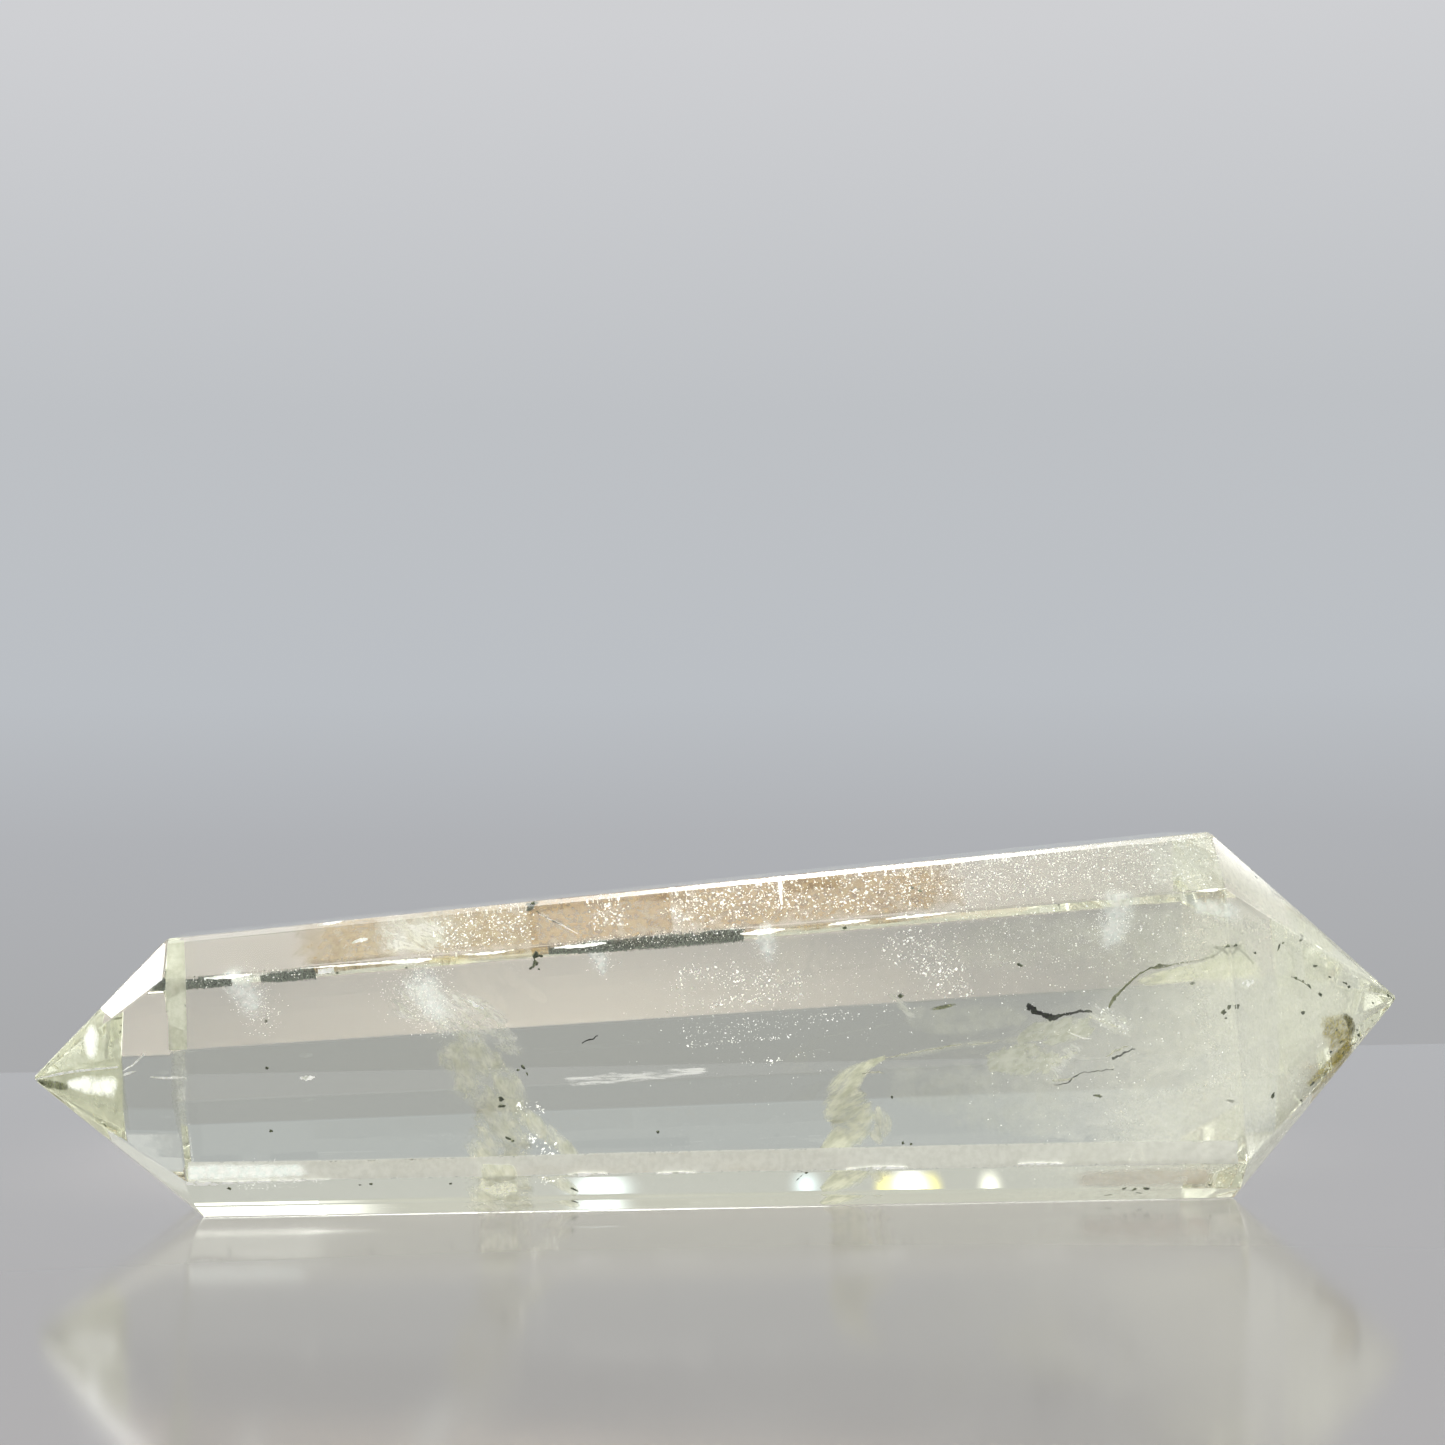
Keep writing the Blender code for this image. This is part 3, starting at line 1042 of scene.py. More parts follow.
# Every film, with its look.
FILMS: tuple[tuple[Look, Film], ...] = (
    (Look.WISP, Film("veil_upper", (
        (392, 985, 24, 3), (425, 1005, 30, 4), (462, 1020, 22, 5), (500, 1036, 16, 6.5),
        (520, 1058, 9, 7.5)), seed=1)),
    (Look.WISP, Film("veil_feather", (
        (448, 995, 5, 4), (474, 1004, 9, 4.5), (498, 1018, 7, 5), (514, 1046, 4, 6)), seed=9)),
    (Look.THIN, Film("veil_middle", (
        (446, 1030, 30, 5), (478, 1070, 36, 7), (500, 1105, 34, 8.5), (498, 1148, 40, 10),
        (506, 1174, 36, 11)), seed=2)),
    (Look.THIN, Film("veil_tail", ((520, 1112, 10, 8), (550, 1136, 12, 8.5), (580, 1160, 6, 9)), seed=3)),
    (Look.CROWN, Film("veil_crown", (
        (352, 942, 18, 1.4), (396, 937, 23, 1.4), (440, 933, 23, 1.4), (490, 928, 22, 1.4)), blunt=0.0,
        seed=4)),
    (Look.WISP, Film("crown_wisps", (
        (376, 940, 18, 1.0), (416, 935, 20, 1.0), (452, 931, 18, 1.0)), blunt=0.2, seed=81)),
    # Painted highlights: glowing hazes round the lamps mirrored along the long ridge, the veils, the wide
    # point and the foot.
    (Look.BLOOM, Film("ridge_glow_narrow", (
        (222, 968, 18, 1), (240, 988, 24, 1.4), (262, 1022, 14, 2)), blunt=0.2, rim=1.5, along=20,
        seed=82)),
    (Look.BLOOM, Film("ridge_glow_second", (
        (586, 936, 16, 1), (598, 956, 15, 1.2), (606, 980, 8, 1.6)), blunt=0.1, rim=1.5, along=20,
        seed=83)),
    (Look.BLOOM, Film("ridge_glow_middle", (
        (760, 922, 16, 1), (766, 942, 16, 1.2), (770, 968, 8, 1.6)), blunt=0.1, rim=1.5, along=20,
        seed=84)),
    (Look.BLOOM, Film("ridge_glow_wide", (
        (1122, 886, 28, 1), (1116, 916, 27, 1.4), (1106, 958, 14, 2)), blunt=0.2, rim=1.5, along=20,
        seed=85)),
    (Look.BLOOM, Film("veil_glow", (
        (420, 956, 14, 2), (424, 984, 26, 3), (438, 1010, 20, 3.5), (452, 1036, 10, 4)), blunt=0.1, rim=1.6,
        seed=63)),
    # Painted highlights on the narrow point.
    (Look.PAINTED_GLEAM, Film("tip_gleam_upper", (
        (93, 1020, 5, 0.4), (91, 1040, 11, 0.4), (92, 1064, 5, 0.4)), ripple=0, blunt=0.2, rim=2.2,
        along=16, seed=64)),
    (Look.PAINTED_GLEAM, Film("tip_gleam_lower", (
        (64, 1084, 5, 0.4), (90, 1085, 14, 0.4), (120, 1088, 17, 0.4)), ripple=0, blunt=0.5, rim=2.2,
        along=16, seed=65)),
    (Look.DUSK, Film("tip_haze", (
        (46, 1082, 5, 0.6), (72, 1078, 26, 0.6), (98, 1074, 46, 0.6), (124, 1071, 60, 0.6)), ripple=0,
        blunt=0.85, along=20, evened=2, seed=92)),
    # Painted reflection: the warm tint under the front shoulder.
    (Look.PAINTED_WARM_FAINT, Film("painted_warm_reflection_narrow", (
        (286, 948, 27, 2.4), (330, 945, 27, 2.4), (370, 941, 27, 2.4), (424, 935, 26, 2.4)), blunt=0.1,
        seed=5)),
    (Look.PAINTED_WARM_FAINT, Film("painted_warm_reflection_between", (
        (400, 938, 20, 2.6), (450, 933, 24, 2.6), (500, 928, 26, 2.6), (540, 924, 26, 2.6)), blunt=0.7,
        seed=66)),
    (Look.PAINTED_WARM, Film("painted_warm_reflection_middle", (
        (528, 924, 27, 2.4), (580, 919, 28, 2.4), (630, 914, 28, 2.4), (672, 910, 28, 2.4)), blunt=0.97,
        seed=6)),
    (Look.PAINTED_WARM, Film("painted_warm_reflection_wide", (
        (664, 911, 28, 2.4), (740, 904, 28, 2.4), (820, 896, 29, 2.4), (900, 889, 28, 2.4),
        (965, 882, 24, 2.4)), blunt=0.45, seed=7)),
    (Look.CREAM, Film("healed_fracture", (
        (886, 1057, 2, 6.5), (864, 1068, 8, 7), (848, 1083, 18, 7.5), (846, 1103, 27, 8),
        (850, 1122, 27, 8.5), (842, 1138, 19, 9), (820, 1152, 3, 9.3)), blunt=0.95, seed=8)),
    (Look.THIN, Film("fracture_lobe", (
        (872, 1108, 10, 8), (884, 1124, 11, 8.4), (872, 1142, 10, 8.8)), along=16, seed=59)),
    (Look.PALE, Film("pale_patch_upper", (
        (1016, 1046, 5, 5), (1036, 1034, 13, 5), (1062, 1030, 15, 5.5), (1096, 1024, 12, 6)), seed=11)),
    (Look.PALE, Film("pale_patch_lower", (
        (986, 1064, 9, 5), (1012, 1059, 18, 5.5), (1042, 1060, 16, 6), (1064, 1058, 5, 6)), seed=12)),
    (Look.FAINT, Film("pale_film_behind", (
        (900, 1014, 10, 7), (940, 1020, 20, 7), (985, 1018, 18, 7.5), (1034, 1012, 12, 8)), seed=13)),
    (Look.FAINT, Film("haze_under_veil", (
        (880, 1080, 18, 6), (940, 1090, 34, 6), (1000, 1100, 44, 6), (1080, 1100, 50, 6)), seed=60)),
    (Look.BAND, Film("cream_band", (
        (1136, 984, 4, 4), (1158, 978, 8, 4.2), (1200, 972, 10, 4.5), (1232, 966, 14, 5),
        (1264, 974, 7, 5)), seed=14)),
    (Look.MILK, Film("milk_near", (
        (960, 1084, 50, 3), (1080, 1080, 84, 3), (1180, 1070, 102, 3), (1260, 1050, 118, 3),
        (1330, 1020, 60, 3), (1392, 1000, 8, 2)), ripple=1.2, blunt=0.4, evened=12, seed=15)),
    (Look.MILK, Film("milk_middle", (
        (930, 1090, 44, 8), (1060, 1085, 88, 8), (1180, 1070, 110, 9), (1255, 1050, 125, 8),
        (1325, 1022, 66, 5), (1388, 1000, 10, 3)), ripple=1.6, blunt=0.4, evened=12, seed=16)),
    (Look.MILK, Film("milk_far", (
        (1000, 1080, 60, 13), (1110, 1078, 96, 14), (1215, 1060, 120, 14), (1290, 1035, 92, 8),
        (1375, 1002, 18, 4)), ripple=1.6, blunt=0.4, evened=12, seed=17)),
    (Look.CROWN, Film("crown_end", (
        (1150, 862, 26, 0.7), (1176, 860, 29, 0.7), (1212, 857, 29, 0.7)), ripple=0.2, blunt=0.7, along=20,
        seed=67)),
    (Look.BLOOM, Film("shoulder_bloom", (
        (1186, 906, 8, 0.8), (1214, 908, 16, 0.8), (1246, 918, 16, 0.8)), ripple=0.2, blunt=0.2, rim=1.6,
        along=20, seed=68)),
    (Look.GIRDLE, Film("girdle_narrow", (
        (176, 940, 8, 0.3), (176, 990, 10, 0.3), (178, 1050, 9, 0.3)), ripple=0, blunt=0.95, along=24,
        across=6, seed=73)),
    (Look.CROWN, Film("girdle_low", (
        (178, 1048, 9, 0.3), (178, 1100, 8, 0.3), (185, 1142, 6, 0.3), (189, 1174, 4, 0.3)), ripple=0,
        blunt=0.9, along=24, across=6, seed=90)),
    (Look.MIST, Film("mist_crest", (
        (1214, 852, 18, 0.8), (1262, 890, 20, 0.8), (1320, 938, 16, 0.8), (1388, 992, 6, 0.5)), blunt=0.7,
        seed=74)),
    (Look.MIST, Film("mist_tip", (
        (1180, 1035, 118, 2.6), (1236, 1015, 128, 2.6), (1290, 1008, 104, 2.4), (1345, 1001, 56, 2.0),
        (1392, 998, 12, 1.0)), ripple=0.8, blunt=0.3, evened=12, seed=75)),
    (Look.MIST, Film("mist_corner", (
        (1090, 1122, 22, 1.6), (1168, 1126, 44, 1.6), (1232, 1122, 54, 1.6), (1280, 1104, 44, 1.4),
        (1312, 1080, 20, 1.2)), ripple=0.4, blunt=0.4, evened=8, seed=91)),
    (Look.PALE, Film("seam_bump", (
        (1222, 951, 4, 4), (1236, 951, 9, 4), (1256, 962, 3, 4)), along=16, seed=76)),
    (Look.FAINT, Film("seam_haze", (
        (884, 1059, 3, 6.4), (930, 1051, 4, 6.2), (970, 1044, 4, 6), (1010, 1040, 4, 5.8),
        (1046, 1035, 3, 5.5)), seed=77)),
    (Look.WISP, Film("bright_streak", (
        (888, 994, 4, 3), (901, 1004, 6, 3), (914, 1020, 4, 3)), along=16, seed=86)),
    (Look.WISP, Film("bright_patch_upper", (
        (1088, 1008, 6, 4), (1110, 1020, 13, 4), (1134, 1034, 8, 4)), blunt=0.4, along=20, seed=78)),
    (Look.WISP, Film("bright_patch_lower", (
        (1050, 1084, 6, 4), (1062, 1060, 9, 4), (1082, 1042, 6, 4)), blunt=0.4, along=20, seed=87)),
    (Look.BLOOM, Film("foot_bloom", (
        (184, 1173, 9, 0.15), (230, 1172, 9, 0.15), (310, 1170, 7, 0.15)), ripple=0, blunt=0.6, seed=79)),
    (Look.THIN, Film("veil_foot", (
        (499, 1164, 22, 0.12), (499, 1172, 24, 0.12), (502, 1184, 20, 0.12)), ripple=0, blunt=0.6, along=16,
        seed=80)),
    (Look.FAINT, Film("milk_shoulder", (
        (900, 950, 22, 4), (1000, 945, 32, 4), (1100, 940, 38, 4), (1200, 935, 44, 4), (1290, 955, 40, 3)),
        ripple=1.2, blunt=0.4, evened=12, seed=19)),
    (Look.RUST, Film("iron_fan_upper", (
        (1355, 1028, 10, 1.6), (1341, 1027, 17, 1.8), (1316, 1027, 14, 2.2)), blunt=0.3, seed=20)),
    (Look.RUST, Film("iron_fan_middle", (
        (1356, 1033, 4, 1.6), (1342, 1038, 10, 1.8), (1318, 1046, 10, 2.2)), blunt=0.2, seed=61)),
    (Look.RUST, Film("iron_fan_lower", (
        (1350, 1040, 6, 1.6), (1340, 1056, 9, 1.8), (1324, 1070, 6, 2.2), (1304, 1089, 4, 2.6)), seed=62)),
    (Look.CORE, Film("iron_core", (
        (1340, 1012, 2, 1.3), (1348, 1019, 5, 1.3), (1352, 1029, 5, 1.3), (1349, 1039, 2, 1.3)), along=20,
        blunt=0.3, seed=29)),
    (Look.OLIVE, Film("olive_tip", (
        (34, 1080, 3, 0.3), (48, 1084, 6, 0.3), (74, 1088, 4, 0.3)), along=16, across=6, ripple=0,
        blunt=0.3, seed=30)),
    (Look.SILK, Film("lap_marks_glint", (
        (556, 1083, 6, 0.5), (610, 1078, 8, 0.5), (660, 1074, 7, 0.5), (716, 1069, 4, 0.5)), ripple=0.0,
        seed=21)),
    # Painted reflection: a pale sheen along the foot.
    (Look.PAINTED_SHEEN, Film("painted_foot_sheen", (
        (188, 1172, 10, 0.2), (400, 1169, 10, 0.2), (600, 1164, 11, 0.2), (800, 1160, 11.5, 0.2),
        (1000, 1156, 12, 0.2), (1238, 1152, 12, 0.2)), ripple=0.0, blunt=0.97, along=60, across=6,
        seed=58)),
    (Look.ROSE, Film("rose_film", (
        (1070, 1180, 8, 2), (1130, 1178, 11, 2), (1180, 1177, 11, 2), (1215, 1177, 8, 2)), seed=22)),
    (Look.PAINTED_FLARE, Film("painted_cream_flare", (
        (478, 1183, 5, 1.2), (498, 1189, 13, 1.2), (520, 1187, 5, 1.2)), seed=23)),
    # Painted shade behind the long front ridge.
    (Look.PAINTED_RIDGE_SHADE, Film("painted_ridge_shade_tip", (
        (146, 985, 6, 0.5), (166, 985, 7, 0.5)), blunt=0.9, ripple=0, along=10, across=6, seed=24)),
    (Look.PAINTED_RIDGE_SHADE, Film("painted_ridge_shade_narrow", (
        (182, 984, 6, 0.5), (206, 983, 6, 0.5), (232, 981, 5, 0.5)), blunt=0.9, ripple=0, along=24,
        across=6, seed=25)),
    (Look.PAINTED_RIDGE_SHADE, Film("painted_ridge_shade_second", (
        (260, 979, 4, 0.5), (290, 976, 6, 0.5), (316, 973.5, 6, 0.5)), blunt=0.9, ripple=0, along=24,
        across=6, seed=26)),
    (Look.PAINTED_RIDGE_SHADE, Film("painted_ridge_shade_middle", (
        (548, 951, 4, 0.5), (604, 946.5, 6.5, 0.5), (670, 941, 7.5, 0.5), (744, 935, 7, 0.5)), blunt=0.95,
        ripple=0, along=60, across=6, seed=27)),
    (Look.OLIVE, Film("moss_smear", (
        (927, 1010, 2, 5), (943, 1007, 3, 5), (958, 1004, 1.5, 5)), ripple=0, along=12, across=4, blunt=0.2,
        seed=28)),
)

# Bright flecks, with how many lie on a square millimetre, the radius of the largest and how far they stray.
FLECKS = (
    FleckCloud(Film("flecks_crown_a", (
        (430, 936, 20, 0.8), (490, 927, 21, 0.8), (534, 921, 21, 0.8)), seed=32), 30, 0.12, 0.4),
    FleckCloud(Film("flecks_crown_b", (
        (590, 914, 18, 0.8), (608, 912, 21, 0.8), (626, 910, 18, 0.8)), seed=33), 34, 0.12, 0.3),
    FleckCloud(Film("flecks_crown_c", (
        (666, 906, 24, 0.8), (720, 901, 25, 0.8), (786, 896, 25, 0.8)), blunt=0.9, seed=34), 30, 0.14, 0.4),
    FleckCloud(Film("flecks_crown_d", (
        (780, 896, 25, 0.8), (850, 889, 25, 0.8), (915, 882, 25, 0.8)), blunt=0.8, seed=35), 25, 0.13, 0.4),
    FleckCloud(Film("flecks_crown_e", (
        (900, 884, 26, 0.8), (1050, 870, 27, 0.8), (1214, 858, 27, 0.8)), blunt=0.85, seed=36), 50, 0.085,
        0.8),
    FleckCloud(Film("flecks_row_a", (
        (674, 982, 8, 3), (700, 974, 10, 3), (760, 982, 14, 3), (810, 978, 8, 3)), seed=37), 20, 0.12, 0.4),
    FleckCloud(Film("flecks_row_b", (
        (672, 1008, 4, 4), (740, 1001, 5, 4), (806, 996, 4, 4)), seed=38), 30, 0.11, 0.15),
    FleckCloud(Film("flecks_row_c", (
        (678, 1033, 6, 4), (760, 1024, 8, 4), (860, 1012, 6, 4)), seed=39), 20, 0.09, 0.15),
    FleckCloud(Film("flecks_row_d", (
        (682, 1045, 3, 5), (740, 1040, 3, 5), (796, 1036, 3, 5)), seed=40), 34, 0.09, 0.15),
    FleckCloud(Film("flecks_row_e", (
        (738, 1064, 3, 5), (775, 1060, 3, 5), (812, 1050, 3, 5)), seed=41), 28, 0.1, 0.15),
    FleckCloud(Film("flecks_haze_a", (
        (660, 985, 22, 5), (740, 975, 32, 5), (830, 975, 34, 5), (900, 965, 26, 5)), seed=53), 30, 0.032,
        2.0),
    FleckCloud(Film("flecks_haze_b", (
        (890, 962, 40, 3), (990, 950, 48, 3), (1090, 940, 48, 3), (1200, 928, 38, 3)), seed=93), 14, 0.045,
        1.6),
    FleckCloud(Film("flecks_wide_a", (
        (880, 940, 10, 3), (925, 955, 24, 3.5), (952, 983, 20, 4), (968, 1000, 8, 4)), seed=42), 24, 0.12,
        0.5),
    FleckCloud(Film("flecks_wide_b", (
        (640, 1000, 60, 6), (760, 1020, 70, 6), (880, 1000, 60, 6), (1000, 960, 40, 6), (1120, 960, 30, 6)),
        seed=43), 3.0, 0.07, 2.5),
    FleckCloud(Film("flecks_wide_c", (
        (960, 1080, 60, 4), (1100, 1080, 90, 4), (1240, 1060, 120, 4), (1330, 1020, 50, 3)), seed=44), 3.2,
        0.07, 2.0),
    FleckCloud(Film("flecks_wide_d", (
        (900, 945, 20, 3), (1000, 935, 30, 3), (1100, 940, 34, 3), (1200, 925, 30, 3)), seed=54), 14, 0.07,
        1.5),
    FleckCloud(Film("flecks_veil_a", ((516, 1106, 8, 6), (546, 1110, 5, 6)), seed=45), 34, 0.16, 0.2),
    FleckCloud(Film("flecks_veil_b", ((524, 1132, 9, 6), (554, 1158, 10, 6)), seed=46), 22, 0.18, 0.2),
    FleckCloud(Film("flecks_veil_c", (
        (372, 980, 14, 3), (410, 1005, 26, 3.5), (460, 1030, 20, 4)), seed=55), 26, 0.045, 0.6),
    # Painted highlights: clouds of bright flecks round lamps mirrored in the stone, and sparks along the long
    # ridge.
    FleckCloud(Film("flecks_glow_a", (
        (238, 980, 12, 1), (254, 1000, 20, 2), (268, 1026, 10, 3)), seed=47), 90, 0.05, 0.8),
    FleckCloud(Film("flecks_glow_b", (
        (425, 966, 18, 1), (424, 990, 24, 2), (432, 1026, 16, 3)), seed=48), 110, 0.05, 0.8),
    FleckCloud(Film("flecks_glow_c", ((764, 938, 14, 1), (768, 962, 10, 2)), seed=49), 90, 0.05, 0.5),
    FleckCloud(Film("flecks_glow_d", (
        (1120, 902, 20, 1), (1112, 930, 18, 2), (1104, 952, 10, 2.5)), seed=50), 100, 0.05, 0.6),
    FleckCloud(Film("flecks_glow_e", ((596, 950, 14, 1), (606, 970, 10, 2)), seed=51), 80, 0.05, 0.5),
    FleckCloud(Film("flecks_glow_f", (
        (238, 1177, 16, 1), (290, 1172, 9, 1), (330, 1170, 5, 1)), seed=56), 130, 0.05, 0.4),
    FleckCloud(Film("painted_ridge_sparks_narrow", (
        (186, 983, 6, 0.25), (232, 980, 6, 0.25), (316, 972, 6, 0.25)), ripple=0, seed=88), 26, 0.07, 0.05),
    FleckCloud(Film("painted_ridge_sparks_middle", (
        (548, 948, 5, 0.25), (604, 943, 7, 0.25), (670, 937.5, 8, 0.25), (746, 931, 7, 0.25)), blunt=0.9,
        ripple=0, seed=89), 44, 0.07, 0.05),
    FleckCloud(Film("flecks_patch", (
        (1094, 1010, 7, 4), (1110, 1020, 9, 4), (1128, 1030, 6, 4)), seed=52), 26, 0.11, 0.3),
)

# Painted shade: black-green flecks behind the long front ridge, standing for the dark that the ridge shows
# from under the stone.
RIDGE_SHADE_FLECKS = (
    FleckCloud(Film("painted_shade_flecks_narrow", (
        (182, 984, 6, 0.3), (206, 983, 6, 0.3), (232, 981, 5, 0.3)), ripple=0, seed=70), 110, 0.07, 0.1),
    FleckCloud(Film("painted_shade_flecks_second", (
        (258, 977, 5, 0.3), (290, 974, 6, 0.3), (318, 971.5, 6, 0.3)), ripple=0, seed=71), 90, 0.07, 0.1),
    FleckCloud(Film("painted_shade_flecks_middle", (
        (546, 948, 4, 0.4), (604, 943, 7, 0.4), (670, 937.5, 8, 0.4), (748, 931, 7, 0.4)), blunt=0.9,
        ripple=0, seed=72), 110, 0.075, 0.1),
)

# Dark grains of chlorite.
GRAINS = tuple(Sliver(*place) for place in (
    (532, 904, 12, 9, 20, 0.5), (529, 909, 7, 5, 60, 0.5), (536, 955, 8, 7, 10, 1.0),
    (535, 963, 8, 6, 80, 1.2), (531, 968, 5, 2.4, 40, 1.2), (541, 956, 4, 3, 0, 1.0),
    (539, 969, 3, 2, 0, 1.0), (501, 1099, 5, 6, 80, 5), (502, 1106, 3, 8, 95, 5), (508, 1138, 8, 3, -20, 6),
    (513, 1141, 4, 2, 10, 6), (523, 1067, 6, 3, -50, 5), (527, 1074, 4, 2, -60, 5), (518, 1070, 3, 2, 0, 5),
    (573, 1160, 9, 2.6, -35, 7), (450, 1171, 3, 3, 0, 3), (371, 1184, 3.5, 3, 0, 2),
    (360, 1185, 3, 2, 0, 2), (901, 996, 6, 4, 0, 3), (229, 1181, 4, 5, 90, 2), (267, 1068, 4, 3, 0, 5),
    (271, 1131, 4, 3, 0, 5), (266, 1021, 3, 3, 0, 5), (845, 928, 5, 3, 0, 1), (912, 888, 5, 3, -30, 1.5),
    (920, 891, 5, 2.4, -20, 1.5), (903, 1143, 3, 3, 0, 5), (911, 1144, 3, 3, 0, 5),
    (806, 1154, 4, 3, 30, 4), (658, 1132, 3.5, 3, 0, 5), (892, 1097, 3, 3, 0, 5), (1020, 965, 7, 3, -20, 3),
    (1228, 946, 6, 3, 10, 2), (1224, 1012, 6, 5, 40, 2), (1229, 1007, 5, 4, 30, 2),
    (1226, 1018, 3, 2, 0, 2), (1273, 1096, 8, 4, 45, 1.5), (1231, 1101, 8, 3, -12, 2),
    (1279, 947, 11, 2.4, 62, 1.5), (1283, 943, 4, 2, 20, 1.5), (1301, 940, 6, 2.6, 12, 1.2),
    (1255, 953, 4, 3, 0, 2), (1315, 966, 3, 7, 95, 1.2), (1296, 978, 6, 3, -10, 1.5),
    (1303, 981, 4, 2, -10, 1.5), (1309, 986, 8, 3.4, -30, 1.5), (1320, 994, 7, 3.4, -30, 1.5),
    (1330, 977, 5, 2, 0, 1), (1345, 983, 8, 2.2, -18, 1), (1349, 987, 3, 5, 95, 1),
    (1359, 1035, 5, 3.4, 0, 1), (1357, 1030, 3, 2.4, 0, 1), (1303, 1013, 6, 4, 0, 2),
    (1395, 995, 6, 3, -50, 0.5), (1398, 997, 4, 2, -40, 0.4), (1373, 1003, 3, 2, 0, 1),
    (1098, 1096, 8, 3.2, -12, 3), (1256, 877, 6, 2.4, -40, 0.6), (1193, 983, 6, 3, 20, 3),
    (1108, 1195, 8, 1.8, 6, 0.8), (1134, 1189, 8, 1.6, 22, 0.8), (1146, 1188, 7, 2, -8, 0.8),
    (1139, 1193, 7, 2.2, -14, 0.8), (1124, 1190, 5, 1.6, 20, 0.8), (1210, 1185, 3, 2, 0, 1),
    (1337, 1030, 4, 2.4, 20, 1.5), (1341, 1042, 5, 2, 30, 1.5), (1331, 1052, 6, 2, 30, 1.5),
    (1312, 1084, 10, 2.2, 30, 1.5), (1344, 1060, 4, 2.2, 60, 1.5), (1302, 1105, 3, 2, 0, 1)))

# Cracks filled with chlorite, or stained by it.
CRACKS = (
    ((1028, 1003, 0.8, 4.6), (1031, 1008, 3.8, 4.6), (1036, 1011.5, 3.2, 4.6), (1042, 1014, 2.2, 4.6),
     (1049, 1017, 3.6, 4.6), (1055, 1017.5, 3.0, 4.6), (1062, 1014.5, 1.4, 4.6), (1070, 1013.5, 1.6, 4.6),
     (1080, 1011.5, 1.3, 4.6), (1092, 1012, 1.1, 4.6)),
    ((1054, 1086, 0.3, 4), (1066, 1083, 0.5, 4), (1073, 1078, 0.6, 4), (1082, 1073, 0.4, 4),
     (1098, 1071, 0.5, 4), (1114, 1069, 0.4, 4)),
    ((1112, 1059, 1.2, 4), (1120, 1055, 1.2, 4), (1128, 1051, 0.9, 4), (1135, 1049, 0.5, 4)),
    ((582, 1043, 0.5, 4), (590, 1040, 0.8, 4), (598, 1036, 0.5, 4)),
    ((536, 911, 0.4, 1), (548, 918, 0.6, 1), (561, 925, 0.4, 1)),
    ((808, 1156, 0.4, 3), (802, 1162, 0.6, 3), (796, 1170, 0.6, 3)),
)

# Cracks with a thin olive stain.
OLIVE_CRACKS = (
    ((1109, 1008, 0.9, 3.6), (1113, 1000, 1.9, 3.6), (1120, 992, 1.5, 3.6), (1129, 983, 1.1, 3.6),
     (1138, 975, 0.9, 3.6), (1149, 969, 0.8, 3.6), (1157, 966.5, 2.0, 3.6), (1164, 966, 1.8, 3.6),
     (1172, 965, 0.9, 3.6), (1184, 962.5, 0.8, 3.6), (1197, 960.5, 0.8, 3.6), (1210, 957, 0.9, 3.6),
     (1220, 952, 1.0, 3.6), (1227, 946, 1.3, 3.6)),
    ((1230, 946, 0.8, 3.2), (1238, 949, 0.8, 3.2), (1246, 955, 0.9, 3.2), (1254, 964, 0.7, 3.2)),
    ((1291, 977, 0.3, 1.8), (1300, 980, 0.6, 1.7), (1308, 986, 0.3, 1.6)),
)

# The edges of healed cracks.
SEAMS = (
    ((884, 1058, 0.5, 6.4), (902, 1055, 0.9, 6.3), (926, 1050.5, 0.6, 6.2), (946, 1047, 0.9, 6.1),
     (962, 1045, 0.4, 6.0)),
    ((968, 1045, 0.3, 6), (986, 1043, 0.5, 6), (1000, 1041, 0.3, 6)),
    ((862, 1074, 0.5, 6.4), (874, 1072, 0.9, 6.4), (884, 1073, 0.4, 6.4)),
    ((1088, 1016, 0.8, 4.5), (1104, 1022, 1.6, 4.5), (1122, 1028, 0.8, 4.5)),
    ((1106, 1056, 0.6, 4.5), (1120, 1049, 1.6, 4.5), (1128, 1046, 0.8, 4.5)),
    ((1052, 1064, 0.8, 4.5), (1064, 1058, 2.0, 4.5), (1078, 1052, 0.8, 4.5)),
    ((1052, 1081, 0.8, 4.5), (1064, 1080, 1.6, 4.5), (1074, 1078, 0.8, 4.5)),
)

# Painted highlights on the long front ridge: glowing ribbons that stand for lamps mirrored there.
RIDGE_GLINTS = (
    ((204, 978.5, 0.4, 0.3), (228, 977, 2.2, 0.3), (252, 974.5, 0.4, 0.3)),
    ((300, 969, 0.4, 0.3), (340, 966, 0.8, 0.3), (380, 963, 1.1, 0.3), (412, 961, 2.6, 0.3),
     (432, 959, 0.4, 0.3)),
    ((462, 955, 0.5, 0.3), (490, 953, 1.6, 0.3), (514, 950, 0.4, 0.3)),
    ((554, 948, 0.5, 0.3), (584, 945.5, 2.2, 0.3), (606, 943, 0.5, 0.3)),
    ((740, 934, 0.6, 0.3), (762, 932, 3.0, 0.3), (785, 929, 0.6, 0.3)),
    ((828, 925, 0.5, 0.3), (850, 922, 1.8, 0.3), (870, 920, 0.5, 0.3)),
    ((886, 919, 0.5, 0.3), (920, 915.5, 1.6, 0.3), (956, 912, 0.5, 0.3)),
    ((1196, 891.5, 0.4, 0.3), (1212, 890, 1.6, 0.3), (1226, 888.5, 0.5, 0.3)),
)
